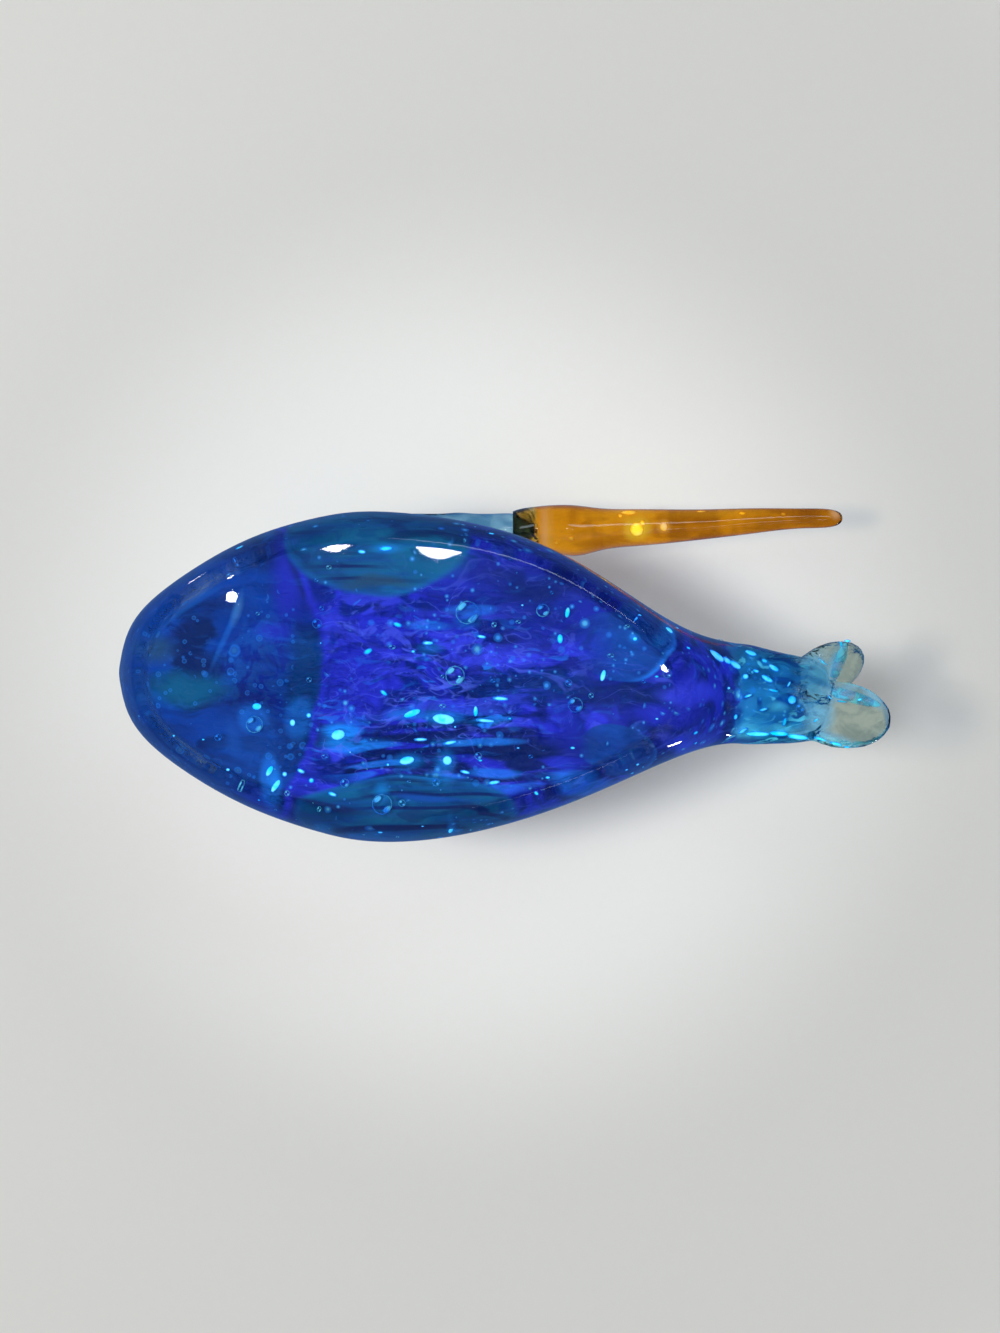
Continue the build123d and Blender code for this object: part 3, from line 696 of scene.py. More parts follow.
def gather_glass():
    """The coloured gather in the casing: cobalt and violet, with feathered zones, veils and air specks."""
    material, t = new_material("coloured gather")
    place = t.place()
    bent = t.wander(place, 0.006, Scale=85.0, Detail=2.0, Roughness=0.5)
    calm = t.wander(place, 0.006, Scale=38.0, Detail=1.0)

    def zone(x, y, half_x, half_y, softness=0.12, share=1.0, half_z=ZONE_DEPTH, over=bent, turn=0):
        """A mask of an oval in millimetres, level with the core's underside."""
        half_size = (half_x * MM, half_y * MM, half_z)
        return t.times(t.oval(over, (x * MM, y * MM, CORE_LEVEL), half_size, softness, turn), share)

    def pattern(name, over=bent):
        scale, detail, roughness, distortion, stretch, shift, turn, low, high = PATTERNS[name]
        moved = t.stretch(over, stretch, turn=(0, 0, turn), shift=shift)
        return t.map(t.noise(moved, scale, detail, roughness, distortion), low, high)

    def tint(mask, colour, share=1.0):
        nonlocal whole
        whole = t.mix(t.times(mask, share), whole, paint(colour))

    def tint_places(rows):
        for x, y, half_x, half_y, softness, colour, share in rows:
            tint(zone(x, y, half_x, half_y, softness), colour, share)

    # The middle of the back half is busy, and the glass round it is calmer
    busy = zone(0, 2, 28, 17, 0.35, over=calm)

    def rather(low):
        return t.map(busy, 0.0, 1.0, low, 1.0, False)

    # Clouds of violet over cobalt, with painted shade as night-blue dips, painted light as bright folds and
    # lilac dashes, and azure flecks
    whole = t.mix(pattern("clouds"), paint("cobalt"), paint("violet"))
    tint(t.times(pattern("painted light folds"), rather(0.45)), "bright", 0.8)
    tint(t.times(pattern("painted shade hollows"), rather(0.6)), "night", 0.85)
    tint(t.times(pattern("dashes"), rather(0.3)), "lilac", 0.75)
    flock = t.map(t.noise(place, 85.0, 1.0, 0.5, 0.6), 0.42, 0.56)
    tint(t.times(pattern("flecks"), flock, rather(0.15)), "azure", 0.85)

    # The front gather, then its dark round middle, green depth and olive shade
    stroke = t.noise(t.stretch(bent, (0.6, 1.5, 1.0), turn=(0, 0, -0.7)), 105.0, 2.5, 0.5, 0.8)
    front_colour = t.mix(t.map(stroke, 0.42, 0.58), paint("slate"), paint("front"))
    front_colour = t.mix(t.times(pattern("front flecks"), 0.4), front_colour, paint("leaf"))
    ahead = zone(FRONT_X, 0, FRONT_RADIUS, FRONT_RADIUS, 0.02, half_z=FRONT_DEPTH)
    whole = t.mix(ahead, whole, front_colour)
    tint_places(FRONT_PLACES)
    mottle = pattern("mottle")
    whole = t.mix(zone(-27.5, 0, 9.0, 9.5, 0.55, 0.8), whole, t.mix(mottle, paint("cobalt"), paint("leaf")))
    tint(zone(-21.0, 2, 3.2, 10, 0.4), "teal", 0.8)
    tint(t.times(mottle, zone(-24, 3, 7, 8, 0.6)), "night", 0.45)
    tint_places(ROUND_PLACES)
    for x, y, half_x, half_y, turn, colour, share in FRONT_STROKES:
        tint(zone(x, y, half_x, half_y, 0.75, over=calm, turn=turn, half_z=STROKE_DEPTH), colour, share)
    tint(zone(-49.5, -4.5, 3.5, 2.6, 0.7), "olive", 0.7)

    # The border behind the front, then dark and light places over the back half
    border, front = (
        zone(x, 0, FRONT_RADIUS, FRONT_RADIUS, 0.012, half_z=FRONT_DEPTH) for x in (BORDER_X, FRONT_X)
    )
    tint(t.less(border, front, True), "violet", 0.8)
    tint_places(BACK_PLACES)

    # Bars that were pulled along the belly
    pulled = t.noise(t.stretch(calm, (0.14, 1, 1), shift=(0.04, 0.02, 0)), 290.0, 1.5, 0.5, 0.5)
    belly = zone(7, 15.0, 23, 8.0, 0.3)
    tint(t.times(t.map(pulled, 0.51, 0.57), belly), "night", 0.9)
    tint(t.times(t.map(pulled, 0.47, 0.40), belly), "azure", 0.55)
    shelf = zone(9, 0, 17, 14, 0.4)
    tint(t.times(t.map(pulled, 0.55, 0.61), shelf), "night", 0.45)
    tint(t.times(t.map(pulled, 0.44, 0.38), shelf), "bright", 0.5)
    for x, y, half_x, half_y, colour, share in BELLY_BARS:
        tint(zone(x, y, half_x, half_y, 0.35, over=calm), colour, share)

    # The feathered teal lenses along both flanks and the two marks at the tail root, each with a painted lit
    # edge
    sheen = pattern("sheen", calm)
    bands = {"Scale": 132.0, "Distortion": 0.7, "Detail": 1.0, "Detail Scale": 0.5}
    bands["Vector"] = t.stretch(calm, (0.04, 1, 1))
    barbs = t.add("ShaderNodeTexWave", bands, bands_direction="Y").outputs["Fac"]
    feather = t.mix(sheen, paint("teal", 1.25), paint("green", 1.15))
    lines = t.times(t.map(barbs, 0.72, 0.96), pattern("fading", calm), 0.90)
    feather = t.mix(lines, feather, paint("night"))
    feather = t.mix(t.times(t.map(barbs, 0.22, 0.02), 0.22), feather, paint("leaf"))
    cells = t.noise(t.stretch(bent, (0.30, 1.0, 1.0), shift=(0.7, 0, 0)), 340.0, 2.0, 0.5, 0.8)
    feather = t.mix(t.times(t.map(cells, 0.56, 0.64), 0.45), feather, paint("slate"))
    feather = t.mix(t.times(t.map(cells, 0.42, 0.35), 0.35), feather, paint("mark"))
    upper, lower = (zone(*row[:4], 0.045, over=calm) for row in LENSES)
    whole = t.mix(t.most(upper, lower), whole, feather)
    for (x, y, half_x, half_y, side), lens in zip(LENSES, (upper, lower)):
        tint(t.less(lens, zone(x, y - side, half_x, half_y, 0.08, over=calm), True), "azure", 0.22)
    tint_places(LENS_PLACES)
    for x, y, half_x, half_y, softness, turn, colour, share in LENS_LINES:
        tint(zone(x, y, half_x, half_y, softness, over=calm, turn=turn), colour, share)
    # A painted highlight: a pale azure band along the base's rim on the +Y flank
    tint(zone(-10, 29.6, 12, 1.1, 0.5), "azure", 0.28)
    along_body = t.split(calm)[0]
    for x, y, half_x, half_y, start, end, lit_edge in TAIL_MARKS:
        mark = t.times(zone(x, y, half_x, half_y, 0.04, over=calm), t.map(along_body, start * MM, end * MM))
        edge = t.less(mark, zone(x - 0.6, y - 0.2, half_x, half_y, 0.08, over=calm), True)
        edge = t.times(edge, t.map(along_body, (x + 1) * MM, (x + 6) * MM))
        whole = t.mix(t.times(mark, 0.9), whole, t.mix(sheen, paint("mark"), paint("leaf")))
        tint(edge, "azure", lit_edge)
    # Painted glow round the brightest glints
    for x, y, half_x, half_y, share in PAINTED_GLOWS:
        tint(zone(x, y, 0.85 * half_x, 0.8 * half_y, 0.95, over=place), "glow", 0.75 * share)

    # The tail, where the gather was drawn thin
    along = t.split(place)[0]
    fray = t.less(t.noise(t.stretch(place, (0.6, 1, 1)), 230.0, 3.0, 0.6, 0.8), 0.5)
    ragged = t.plus(along, t.times(fray, 0.014))
    tail = t.mix(pattern("tail patches"), paint("tail_deep"), paint("tail"))
    tail = t.mix(pattern("flares"), tail, paint("tail_pale"))
    whole = t.mix(t.map(ragged, *TAIL_START), whole, tail)
    for x, y, half_x, half_y, colour, share in TAIL_PATCHES:
        tint(zone(x, y, half_x, half_y, 0.5), colour, share)

    # Painted light: the sides of the front, found by their normal, are lightened with leaf blue
    facing = t.split(t.normal())[2]
    sides = t.times(t.map(facing, -0.85, -0.45), t.map(along, -0.028, -0.042))
    tint(t.times(sides, t.map(stroke, 0.60, 0.40, 0.15, 1.0)), "leaf", 0.60)

    # Threads, veils and specks, fewer in the front, the lenses and the tail
    behind = t.less(1.0, t.times(ahead, 0.85))
    threads = t.use(pulled_threads, Place=bent, Across=560.0, Along=120.0, Wander=0.004).outputs
    calmer = t.most(t.most(upper, lower), t.map(along, 0.042, 0.058))
    plain = t.times(t.less(1.0, t.times(calmer, 0.75)), rather(0.35))
    drawn = t.times(plain, behind)
    tint(t.times(threads["Dark"], plain), "night", 0.45)
    tint(t.times(threads["Bright"], plain), "azure", 0.20)
    for stretch, fineness, thin, share in VEILS:
        veils = t.use(curled_veils, Place=t.stretch(bent, stretch), Fineness=fineness, Thin=thin).outputs
        tint(t.times(veils["Shade"], drawn), "night", 0.16)
        tint(t.times(veils["Edge"], drawn), "lilac", share)
    for fineness, crowd, size, share in SPECKS:
        specks = t.use(air_specks, Place=place, Fineness=fineness, Crowd=crowd, Size=size).outputs
        tone = t.mix(specks["Tone"], paint("azure"), paint("seed"))
        whole = t.mix(t.times(specks["Specks"], t.times(behind, share)), whole, tone)
        tint(specks["Rings"], "azure", 0.30)

    height = t.plus(t.times(threads["Height"], 0.6), t.noise(bent, 280.0, 2.0, 0.5))
    height = t.plus(height, t.times(pulled, t.times(belly, 1.5)))
    height = t.times(t.less(height, 1.1), plain)
    faded = t.map(ragged, *GATHER_FADE, 1.0, 0.0)
    bump = t.bump(height, 1.0, 0.0022)
    t.paste(Base_Color=whole, Roughness=0.25, Specular_IOR_Level=0.25, Normal=bump, Alpha=faded)
    return material


def seed_glass():
    """Air trapped in the glass: clear in the middle, with a painted bright ring round the rim and painted
    highlights where its skin faces given ways.
    """
    material, t = new_material("trapped air")
    tint = t.mix(t.map(t.noise(t.place(), 160.0, 1.0), 0.4, 0.6), paint("azure"), paint("seed"))
    rim = t.slant()
    share = t.times(t.map(rim, 0.30, 0.75), t.map(rim, 1.0, 0.82))
    normal = t.normal()
    for way, low, high in SEED_HIGHLIGHTS:
        lit = t.add("ShaderNodeVectorMath", {0: normal, 1: way}, operation="DOT_PRODUCT").outputs["Value"]
        share = t.most(share, t.map(lit, low, high))
    t.paste(Base_Color=tint, Roughness=0.10, Alpha=t.times(share, 0.85))
    return material


def glint_glass(name, middle, lit, outer, glow):
    """Painted glints: flattened seeds, bright in the middle and fading towards their rims, that glow a little
    by emission.
    """
    material, t = new_material(name)
    tint = t.mix(t.map(t.noise(t.place(), 380.0, 2.0), 0.38, 0.62), paint(middle), paint(lit))
    rim = t.slant()
    share = t.map(rim, 0.80, 0.10)
    tint = t.mix(t.map(rim, 0.40, 0.05), paint(outer), tint)
    t.paste(Base_Color=tint, Roughness=0.15, Alpha=share, Emission_Color=tint, Emission_Strength=glow)
    return material


def amber_glass():
    """The bill's amber glass: olive where it laps the head, spots that are mostly painted light, and browner
    at its sides and tip.
    """
    material, t = new_material("amber glass")
    place = t.place()
    threads = t.use(pulled_threads, Place=place, Across=330.0, Along=70.0, Wander=0.004).outputs
    whole = t.mix(t.times(threads["Bright"], 0.35), paint("amber"), paint("amber_pale"))
    whole = t.mix(t.times(threads["Dark"], 0.30), whole, paint("amber_deep"))
    broad = t.noise(t.stretch(place, (0.5, 1, 1)), 150.0, 3.0, 0.6)
    whole = t.mix(t.times(t.map(broad, 0.50, 0.62), 0.75), whole, paint("amber_deep"))
    whole = t.mix(t.times(t.map(broad, 0.46, 0.36), 0.50), whole, paint("amber_pale"))
    whole = t.mix(t.times(t.map(t.slant(), 0.35, 0.95), 0.75), whole, paint("amber_deep"))
    for middle, half, softness, share, colour in BILL_SPOTS:
        zone = t.oval(place, Vector(middle) * MM, Vector(half) * MM, softness)
        whole = t.mix(t.times(zone, share), whole, paint(colour))
    along = t.plus(t.split(place)[0], t.times(t.noise(place, 300.0, 2.0), 0.0016))
    lap = t.mix(t.map(t.noise(place, 420.0, 3.0, 0.6), 0.42, 0.62), paint("lap"), paint("lap", 3.0))
    whole = t.mix(t.map(along, LAP_END + LAP_BLUR, LAP_END), whole, lap)
    height = t.use(fire_polish, Place=place, Ripple=80.0, Depth=1.0).outputs[0]
    t.glass(whole, 0.08, t.bump(height, 0.6, 0.0007))
    return material


def thread_glass():
    """Blue threads that fade into the clear glass of the lobes."""
    material, t = new_material("thread glass")
    tone = t.map(t.noise(t.place(), 420.0, 3.0, 0.6, 0.8), 0.38, 0.62)
    tint = t.mix(tone, paint("thread"), paint("tail_pale"))
    share = t.times(t.map(t.slant(), 0.85, 0.10), t.map(tone, 0.0, 0.8, 0.20, 0.85))
    t.paste(Base_Color=tint, Roughness=0.12, Alpha=share)
    return material


def wing_glass():
    """Teal glass that was drawn out hot: pale and dark threads run along it under a rippled skin."""
    material, t = new_material("wing glass")
    place = t.place()
    threads = t.use(pulled_threads, Place=place, Across=700.0, Along=90.0, Wander=0.003).outputs
    colour = t.mix(t.times(threads["Bright"], 0.5), paint("wing"), paint("seed"))
    colour = t.mix(t.times(threads["Dark"], 0.5), colour, paint("wing", 0.45))
    height = t.use(fire_polish, Place=place, Ripple=60.0, Depth=1.0).outputs[0]
    t.glass(colour, 0.04, t.bump(height, 0.5, 0.0006))
    return material


def bead_glass():
    """Black glass of the eyes, with faint brown specks."""
    material, t = new_material("bead glass")
    speck = t.map(t.noise(t.place(), 900.0, 2.0), 0.5, 0.7)
    colour = t.mix(speck, (0.01, 0.01, 0.012, 1), (0.05, 0.03, 0.02, 1))
    t.paste(Base_Color=colour, Roughness=0.05, Coat_Weight=0.6, Coat_Roughness=0.03)
    return material


# Settings

def colour_setting(label, text, value):
    return bpy.props.FloatVectorProperty(
        name=label, description=text, subtype="COLOR", size=3, min=0.0, max=1.0, default=value
    )


def length_setting(label, text, value, low, high):
    return bpy.props.FloatProperty(
        name=label, description=text, default=value, min=low, max=high,
        unit="LENGTH", subtype="DISTANCE", precision=5,
    )


def level_setting(label, text, value, high, **more):
    return bpy.props.FloatProperty(name=label, description=text, default=value, min=0.0, max=high, **more)


class GlassBirdColours(bpy.types.PropertyGroup):
    casing: colour_setting("Casing", "Clear blue of the outer layer, seen straight", (0.42, 0.64, 0.97))
    casing_deep: colour_setting(
        "Casing, deep", "Clear blue of the outer layer, seen aslant", (0.05, 0.23, 0.88)
    )
    # Painted light: a lit band just inside the skin's outline
    rim: colour_setting("Rim", "Lit blue just inside the outline", (0.17, 0.46, 1.0))
    shade: colour_setting("Shade", "Lamplight that passes the glass", (0.80, 0.83, 0.88))
    cobalt: colour_setting("Cobalt", "Deep blue of the gather", (0.004, 0.019, 0.235))
    violet: colour_setting("Violet", "Violet-blue clouds in the gather", (0.032, 0.034, 0.56))
    # Painted light: the bright folds and patches in the gather are painted in this blue
    bright: colour_setting("Bright blue", "Lit patches in the gather", (0.080, 0.085, 0.86))
    # Painted highlights in the gather: dashes and the bright edges of the veils
    lilac: colour_setting("Lilac", "Pale folds and dashes in the gather", (0.17, 0.22, 0.95))
    azure: colour_setting("Azure", "Veils and pale bars in the gather", (0.030, 0.33, 1.0))
    night: colour_setting("Night blue", "Darkest threads and shadows in the gather", (0.003, 0.014, 0.10))
    slate: colour_setting("Slate", "Darker blue of the front gather", (0.001, 0.018, 0.105))
    front: colour_setting("Front blue", "Paler blue of the front gather", (0.002, 0.056, 0.31))
    teal: colour_setting("Teal", "Feathered zones along the flanks", (0.002, 0.056, 0.15))
    leaf: colour_setting("Leaf", "Marks at the tail root", (0.009, 0.092, 0.38))
    mark: colour_setting("Mark", "Shade in the marks at the tail root", (0.004, 0.050, 0.23))
    green: colour_setting("Green", "Green depth in the breast", (0.004, 0.14, 0.24))
    olive: colour_setting("Olive", "Olive shade at the breast", (0.03, 0.09, 0.13))
    # Painted light: the glints, the glow round them and the bright rims of the seeds
    glint: colour_setting("Glint", "Colour of the glints inside", (0.0, 0.80, 0.92))
    glow: colour_setting("Glow", "Glow round the brightest glints", (0.015, 0.46, 1.0))
    seed: colour_setting("Seed", "Rim of the air seeds", (0.24, 0.98, 1.0))
    aqua: colour_setting("Aqua", "Neck and head", (0.085, 0.26, 0.48))
    aqua_pale: colour_setting("Aqua, pale", "Pale threads in the neck and head", (0.34, 0.60, 0.78))
    aqua_deep: colour_setting("Aqua, deep", "Neck and head, seen aslant", (0.02, 0.13, 0.34))
    amber: colour_setting("Amber", "Bill", (0.70, 0.27, 0.004))
    amber_pale: colour_setting("Amber, pale", "Lit threads in the bill", (0.92, 0.47, 0.025))
    amber_deep: colour_setting("Amber, deep", "Brown places and sides of the bill", (0.25, 0.070, 0.002))
    # Painted light in the bill: yellow glints, the brightest seeds and rose highlights
    amber_lit: colour_setting("Amber, lit", "Yellow spots in the bill", (1.0, 0.86, 0.10))
    sunlit: colour_setting("Sunlit", "Brightest seeds in the bill", (1.0, 0.95, 0.55))
    rose: colour_setting("Rose", "Pale rose of the bill's face and tip", (0.85, 0.55, 0.42))
    lap: colour_setting("Lap", "Olive ring where the bill laps the head", (0.13, 0.12, 0.06))
    tail: colour_setting("Tail", "Glass drawn out of the body", (0.032, 0.29, 0.54))
    tail_deep: colour_setting("Tail, deep", "Dark places in the tail", (0.004, 0.09, 0.33))
    tail_pale: colour_setting("Tail, pale", "Pale places in the tail", (0.28, 0.95, 1.0))
    tail_skin: colour_setting("Tail skin", "Outer glass of the tail", (0.20, 0.60, 0.93))
    clear: colour_setting("Lobe", "Clear glass of the tail lobes", (0.40, 0.485, 0.43))
    smoke: colour_setting("Smoke", "Smoky places in the lobes", (0.25, 0.33, 0.31))
    thread: colour_setting("Thread", "Threads in the lobes", (0.02, 0.28, 0.66))
    wing: colour_setting("Wing", "Teal pads on the flanks", (0.04, 0.36, 0.46))


class GlassBirdSizes(bpy.types.PropertyGroup):
    seed_count: bpy.props.IntProperty(
        name="Seeds", description="Air seeds scattered in the casing", default=150, min=0, max=600
    )
    seed_radius: length_setting("Seed radius", "Radius of a middling seed", 0.00045, 0.0001, 0.002)
    gather_voxel: length_setting("Gather mesh", "Cell size of the gather's mesh", 0.0008, 0.0004, 0.004)
    skin_voxel: length_setting("Skin mesh", "Cell size of the clear skin's mesh", 0.00062, 0.0004, 0.004)


class GlassBirdStage(bpy.types.PropertyGroup):
    background: colour_setting("Background", "Pale studio background", (0.80, 0.80, 0.785))
    mirrored: colour_setting("Mirrored", "Daylight that polished glass mirrors", (0.22, 0.48, 1.0))
    backdrop: colour_setting(
        "Backdrop", "Paper behind the bird when it is seen from below", (0.835, 0.835, 0.81)
    )
    floor: colour_setting("Floor", "Floor the bird stands on", (0.80, 0.80, 0.785))
    world_level: level_setting("World level", "Light from all round", 0.33, 2.0)
    mirror_low: level_setting("Mirrored from below", "World light that glass mirrors from below", 0.08, 2.0)
    mirror_high: level_setting("Mirrored from above", "World light that glass mirrors from above", 0.35, 2.0)
    box_level: level_setting("Box level", "Power of the rim and side lamps for each square metre", 3.2, 100.0)
    spark_level: level_setting("Spark level", "Power of the small lamps for each square metre", 170.0, 1000.0)
    lamp_power: level_setting(
        "Lamp power", "Power of the key lamps", 2.6, 50.0, subtype="POWER", unit="POWER"
    )


def colours():
    return bpy.context.scene.glass_bird_colours


def sizes():
    return bpy.context.scene.glass_bird_sizes


def stage_settings():
    return bpy.context.scene.glass_bird_stage


# Operators

class GLASSBIRD_OT_stage(bpy.types.Operator):
    """Sets the camera, the lamps, the floor and the backdrop"""
    bl_idname = "glassbird.stage"
    bl_label = "Stage"

    def execute(self, context):
        wants = stage_settings()
        self.camera(context)
        self.world(context, wants)
        self.floor(wants)
        self.backdrop(wants)
        self.lamps(wants)
        return {"FINISHED"}

    def camera(self, context):
        lens = bpy.data.cameras.new("camera")
        lens.sensor_width = CAMERA_SENSOR
        lens.lens = CAMERA_LENS
        lens.clip_start = 0.01
        lens.clip_end = 20.0
        camera = bpy.data.objects.new("camera", lens)
        context.scene.collection.objects.link(camera)
        camera.location = CAMERA_PLACE
        camera.rotation_euler = (math.pi, 0, 0)
        context.scene.camera = camera
        context.scene.view_settings.view_transform = "Standard"

    def world(self, context, wants):
        """Even light all round: pale where seen past or through the glass, dimmer where mirrored."""
        world = bpy.data.worlds.new("studio")
        context.scene.world = world
        world.use_nodes = True
        world.node_tree.nodes.clear()
        t = Tree(world.node_tree)
        path = t.add("ShaderNodeLightPath").outputs
        seen = t.most(path["Is Camera Ray"], path["Is Transmission Ray"])
        up = t.split(t.add("ShaderNodeTexCoord").outputs["Generated"])[2]
        mirrored = t.map(up, 0.1, 1.0, wants.mirror_low, wants.mirror_high)
        glossy = path["Is Glossy Ray"]
        level = t.add("ShaderNodeMix", {0: glossy, 2: wants.world_level, 3: mirrored}).outputs[0]
        level = t.add("ShaderNodeMix", {0: seen, 2: level, 3: 1.0}).outputs[0]
        tone = t.mix(glossy, rgba(wants.background), rgba(wants.mirrored))
        tone = t.mix(seen, tone, rgba(wants.background))
        back = t.add("ShaderNodeBackground", {"Color": tone, "Strength": level}).outputs[0]
        t.add("ShaderNodeOutputWorld", {"Surface": back})

    def one_sided(self, name, colour, reach, seen_by, glow=None):
        """A plain surface that is seen from its front alone and fades towards its edge."""
        material, t = new_material(name)
        place = t.place()
        flat = t.vector("MULTIPLY", place, (1, 1, 0))
        fade = t.map(t.length(flat), 0.55 * reach, 0.98 * reach, 1.0, 0.0)
        grain = t.map(t.noise(place, 700.0, 2.0), 0.0, 1.0, 0.985, 1.0)
        tone = t.mix(1.0, rgba(colour), grain, "MULTIPLY")
        # A painted pool of light: the backdrop is brighter round a middle and darker beyond it
        if glow:
            middle, near, far, edge = glow
            apart = t.length(t.vector("SUBTRACT", flat, middle))
            tone = t.mix(1.0, tone, t.map(apart, near, far, 1.0, edge), "MULTIPLY")
        matt = t.add("ShaderNodeBsdfDiffuse", {"Color": tone, "Roughness": 0.6}).outputs[0]
        clear = t.add("ShaderNodeBsdfTransparent").outputs[0]
        path = t.add("ShaderNodeLightPath").outputs
        seen = path[seen_by[0]]
        for kind in seen_by[1:]:
            seen = t.most(seen, path[kind])
        front = t.less(1.0, t.add("ShaderNodeNewGeometry").outputs["Backfacing"])
        share = t.times(seen, front, fade)
        t.surface(t.add("ShaderNodeMixShader", {0: share, 1: clear, 2: matt}).outputs[0])
        return material

    def plane(self, name, level, reach, facing_down, material):
        nothing_selected()
        turn = math.pi if facing_down else 0
        bpy.ops.mesh.primitive_circle_add(
            vertices=96, radius=reach, fill_type="NGON", location=(0, 0, level), rotation=(turn, 0, 0)
        )
        made = bpy.context.object
        made.name = name
        settle(made)
        dress(made, material)

    def floor(self, wants):
        rays = ["Is Camera Ray", "Is Diffuse Ray"]
        material = self.one_sided("floor paper", wants.floor, FLOOR_REACH, rays)
        self.plane("floor", BASE_LEVEL - FLOOR_GAP, FLOOR_REACH, False, material)

    def backdrop(self, wants):
        rays = ["Is Camera Ray"]
        material = self.one_sided("backdrop paper", wants.backdrop, BACKDROP_REACH, rays, BACKDROP_PAINTED_LIGHT)
        self.plane("backdrop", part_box("neck")[1].z + BACKDROP_GAP, BACKDROP_REACH, True, material)

    def lamp(self, name, place, target, width, height, power, mirrored, turn=0.0):
        light = bpy.data.lights.new(name, "AREA")
        light.shape = "ELLIPSE"
        light.size = width
        light.size_y = height
        light.energy = power
        lamp = bpy.data.objects.new(name, light)
        bpy.context.scene.collection.objects.link(lamp)
        lamp.location = place
        lamp.rotation_mode = "QUATERNION"
        aim = (Vector(target) - Vector(place)).to_track_quat("-Z", "Y")
        lamp.rotation_quaternion = aim @ Euler((0, 0, turn)).to_quaternion()
        lamp.visible_camera = False
        lamp.visible_glossy = mirrored
        lamp.visible_transmission = False
        return lamp

    def lamps(self, wants):
        for name, place, size, share in SOFT_LAMPS:
            self.lamp(name, place, LAMP_AIM, size, size, share * wants.lamp_power, False)
        for name, place, width, height in SIDE_SPARKS:
            power = SIDE_SPARK_LEVEL * wants.box_level * width * height
            self.lamp(name, place, LAMP_AIM, width, height, power, True)
        for name, place, width, height, level in RIM_LAMPS:
            power = level * wants.box_level * width * height
            self.lamp(name, place, LAMP_AIM, width, height, power, True).data.color = RIM_COLOUR
        for name, x, y, width, height, turn, level in SPARKS:
            power = level * wants.spark_level * width * height * MM * MM
            place, target = (x * MM, y * MM, SPARK_DEPTH), (x * MM, y * MM, 0)
            self.lamp(name, place, target, width * MM, height * MM, power, True, math.radians(turn))


class GLASSBIRD_OT_skin(bpy.types.Operator):
    """Makes the clear skin, which was melted together from the casing, neck, head, tail and lobes"""
    bl_idname = "glassbird.skin"
    bl_label = "Clear skin"

    def execute(self, context):
        parts = [copy_of_solid(node, node + "_glass") for node in SKIN_NODES]
        for part in parts:
            keep_outside(part)
        piece = join_as("clear_skin", parts)
        melt(piece, sizes().skin_voxel, 8)
        keep_outside(piece)
        dress(piece, skin_glass())
        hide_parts(*SKIN_NODES)
        on_body(piece)
        return {"FINISHED"}


class GLASSBIRD_OT_gather(bpy.types.Operator):
    """Makes the coloured gather that fills the casing and is drawn thin into the tail"""
    bl_idname = "glassbird.gather"
    bl_label = "Gather"

    def execute(self, context):
        parts = [copy_of_solid("breast_core", "breast"), copy_of_solid("body_core", "body")]
        piece = join_as("gather", [*parts, self.tail_core()])
        melt(piece, sizes().gather_voxel, 6)
        dress(piece, gather_glass())
        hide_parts("body_core", "breast_core")
        on_body(piece)
        return {"FINISHED"}

    def tail_core(self):
        """The tail's stem, thinned and drawn longer about a place towards its end."""
        core = copy_of_solid("tail_stem", "drawn")
        low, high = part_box("tail_stem")
        middle = 0.3 * low.x + 0.7 * high.x
        edit_all(core)
        bpy.ops.transform.shrink_fatten(value=-0.0015)
        bpy.ops.transform.resize(value=(1.5, 1, 1), center_override=(middle, 0, 0))
        bpy.ops.object.mode_set(mode="OBJECT")
        return core


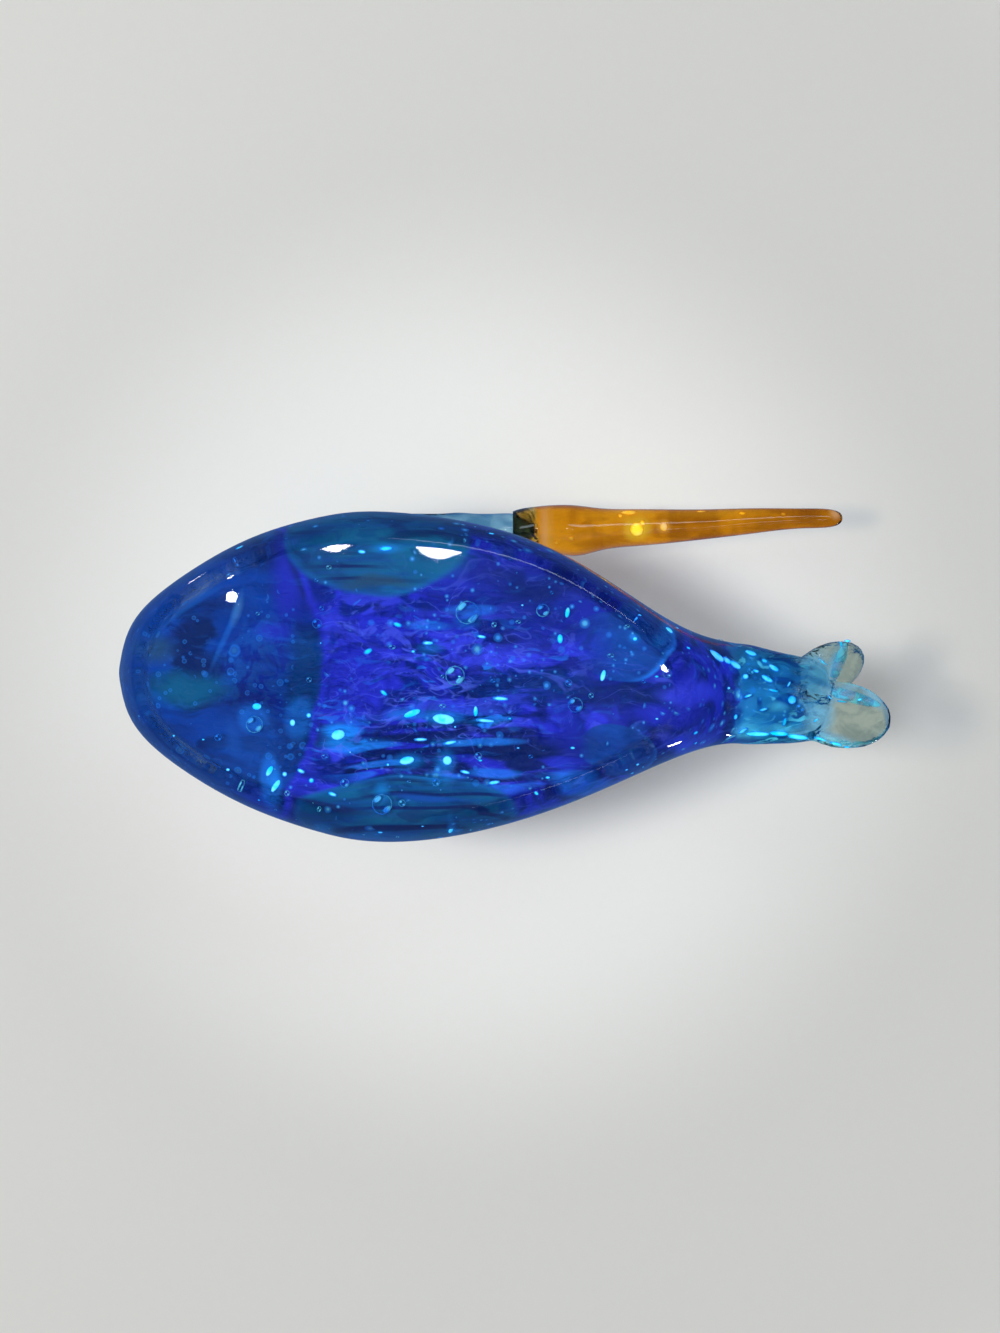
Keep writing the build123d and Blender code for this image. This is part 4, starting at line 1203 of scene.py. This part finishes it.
class GLASSBIRD_OT_seeds(bpy.types.Operator):
    """Scatters seeds of trapped air through the casing, round ones and flattened ones painted as glints"""
    bl_idname = "glassbird.seeds"
    bl_label = "Air seeds"

    def execute(self, context):
        chance = random.Random(7)
        self.gather = bpy.data.objects["gather"]
        self.round_seeds(chance)
        self.lit_seeds(chance)
        self.bill_seeds()
        return {"FINISHED"}

    def over(self, x, y, share):
        """A place below the gather at x and y, at a share of the way from its underside to the base."""
        hit, place, _, _ = self.gather.ray_cast(Vector((x * MM, y * MM, -0.05)), Vector((0, 0, 1)))
        if not hit:
            return None
        return place + Vector((0, 0, -1)) * share * CASING_DEPTH

    def beside(self, chance, low, high):
        """A place in the casing beside the gather's skin, by chance."""
        skin = self.gather.data.vertices
        vert = skin[chance.randrange(len(skin))]
        while vert.co.x < CALM_X and chance.random() < CALM_SHARE:
            vert = skin[chance.randrange(len(skin))]
        return vert.co + vert.normal * CASING_DEPTH * chance.uniform(low, high)

    def round_seeds(self, chance):
        shapes = []
        for x, y, radius in ROUND_SEEDS:
            place = self.over(x, y, 0.5)
            if place:
                halves = (radius * MM, radius * MM, min(radius, ROUND_SEED_LIMIT) * MM)
                shapes.append(self.seed(place, halves))
        for _ in range(sizes().seed_count):
            radius = sizes().seed_radius * chance.uniform(0.3, 1.1) ** 1.5
            place = self.beside(chance, 0.15, 0.75)
            shapes.append(self.seed(place, (radius * chance.uniform(1.0, 1.6), radius, radius)))
        self.finish_seeds("air_seeds", shapes, seed_glass(), "clear_glass")

    def lit_seeds(self, chance):
        shapes = []
        for x, y, half_length, half_width, turn in GLINT_SEEDS:
            share, grown, thick = LIT_IN_TAIL if x > TAIL_SEEDS_X else LIT_IN_BODY
            place = self.over(x, y, share)
            if place:
                halves = (grown * half_length * MM, grown * half_width * MM, thick * MM)
                shapes.append(self.seed(place, halves, turn))
        for _ in range(sizes().seed_count // 2):
            radius = sizes().seed_radius * chance.uniform(0.3, 0.9)
            place = self.beside(chance, 0.08, 0.3)
            shapes.append(self.seed(place, (radius * chance.uniform(1.0, 2.0), radius, 0.6 * radius)))
        for x, y, z, half_length, half_width, turn in LOBE_SEEDS:
            halves = (half_length * MM, half_width * MM, LOBE_SEED_HALF * MM)
            shapes.append(self.seed(Vector((x, y, z)) * MM, halves, turn))
        material = glint_glass("lit seeds", "glint", "seed", "azure", 0.40)
        self.finish_seeds("lit_seeds", shapes, material, "streak_glass")

    def bill_seeds(self):
        shapes = []
        for x, y, z, half_length, half_width in BILL_SEEDS:
            halves = (half_length * MM, half_width * MM, BILL_SEED_HALF * MM)
            shapes.append(self.seed(Vector((x, y, z)) * MM, halves))
        material = glint_glass("amber seeds", "amber_lit", "sunlit", "amber_pale", 0.25)
        self.finish_seeds("bill_seeds", shapes, material, "amber_glass")

    def seed(self, place, halves, turn=0):
        nothing_selected()
        rounds = 2 if halves[1] > FINE_SEED else 1
        turned = (0, 0, math.radians(turn))
        bpy.ops.mesh.primitive_ico_sphere_add(subdivisions=rounds, radius=1, location=place, rotation=turned)
        made = bpy.context.object
        made.scale = halves
        settle(made)
        return made

    def finish_seeds(self, name, shapes, material, slot):
        """Join seeds into one piece and make each a little uneven."""
        piece = join_as(name, shapes)
        edit_all(piece)
        bpy.ops.transform.vertex_random(offset=0.09 * sizes().seed_radius, seed=4)
        bpy.ops.object.mode_set(mode="OBJECT")
        bpy.ops.object.shade_smooth()
        dress(piece, material)
        on_body(piece)


class GLASSBIRD_OT_wings(bpy.types.Operator):
    """Gives the wings their teal glass"""
    bl_idname = "glassbird.wings"
    bl_label = "Wings"

    def execute(self, context):
        dress_nodes(wing_glass(), "left_wing", "right_wing")
        return {"FINISHED"}


class GLASSBIRD_OT_eyes(bpy.types.Operator):
    """Gives the eyes their black glass"""
    bl_idname = "glassbird.eyes"
    bl_label = "Eyes"

    def execute(self, context):
        dress_nodes(bead_glass(), "left_eye", "right_eye")
        return {"FINISHED"}


class GLASSBIRD_OT_bill(bpy.types.Operator):
    """Gives the bill its amber glass"""
    bl_idname = "glassbird.bill"
    bl_label = "Bill"

    def execute(self, context):
        dress_nodes(amber_glass(), "bill")
        return {"FINISHED"}


class GLASSBIRD_OT_tail_threads(bpy.types.Operator):
    """Gives the threads in the tail's lobes their blue glass"""
    bl_idname = "glassbird.tail_threads"
    bl_label = "Tail threads"

    def execute(self, context):
        dress_nodes(thread_glass(), "tail_streak_left", "tail_streak_right")
        return {"FINISHED"}


STEPS = (
    GLASSBIRD_OT_stage, GLASSBIRD_OT_skin, GLASSBIRD_OT_gather, GLASSBIRD_OT_seeds, GLASSBIRD_OT_wings,
    GLASSBIRD_OT_eyes, GLASSBIRD_OT_bill, GLASSBIRD_OT_tail_threads,
)


class GLASSBIRD_PT_panel(bpy.types.Panel):
    """Lists the settings and the steps that make the bird"""
    bl_idname = "GLASSBIRD_PT_panel"
    bl_label = "Glass bird"
    bl_space_type = "VIEW_3D"
    bl_region_type = "UI"
    bl_category = "Glass bird"

    def draw(self, context):
        scene = context.scene
        for settings in (scene.glass_bird_sizes, scene.glass_bird_colours, scene.glass_bird_stage):
            box = self.layout.box()
            for name in settings.bl_rna.properties.keys():
                if name not in ("rna_type", "name"):
                    box.prop(settings, name)
        for step in STEPS:
            self.layout.operator(step.bl_idname)


CLASSES = (GlassBirdColours, GlassBirdSizes, GlassBirdStage) + STEPS + (GLASSBIRD_PT_panel,)


def register():
    for made in CLASSES:
        bpy.utils.register_class(made)
    bpy.types.Scene.glass_bird_colours = bpy.props.PointerProperty(type=GlassBirdColours)
    bpy.types.Scene.glass_bird_sizes = bpy.props.PointerProperty(type=GlassBirdSizes)
    bpy.types.Scene.glass_bird_stage = bpy.props.PointerProperty(type=GlassBirdStage)


def unregister():
    del bpy.types.Scene.glass_bird_stage
    del bpy.types.Scene.glass_bird_sizes
    del bpy.types.Scene.glass_bird_colours
    for made in reversed(CLASSES):
        bpy.utils.unregister_class(made)


def main():
    register()
    bpy.ops.glassbird.stage()
    bpy.ops.glassbird.skin()
    bpy.ops.glassbird.gather()
    bpy.ops.glassbird.seeds()
    bpy.ops.glassbird.wings()
    bpy.ops.glassbird.eyes()
    bpy.ops.glassbird.bill()
    bpy.ops.glassbird.tail_threads()


if __name__ == "__main__":
    main()
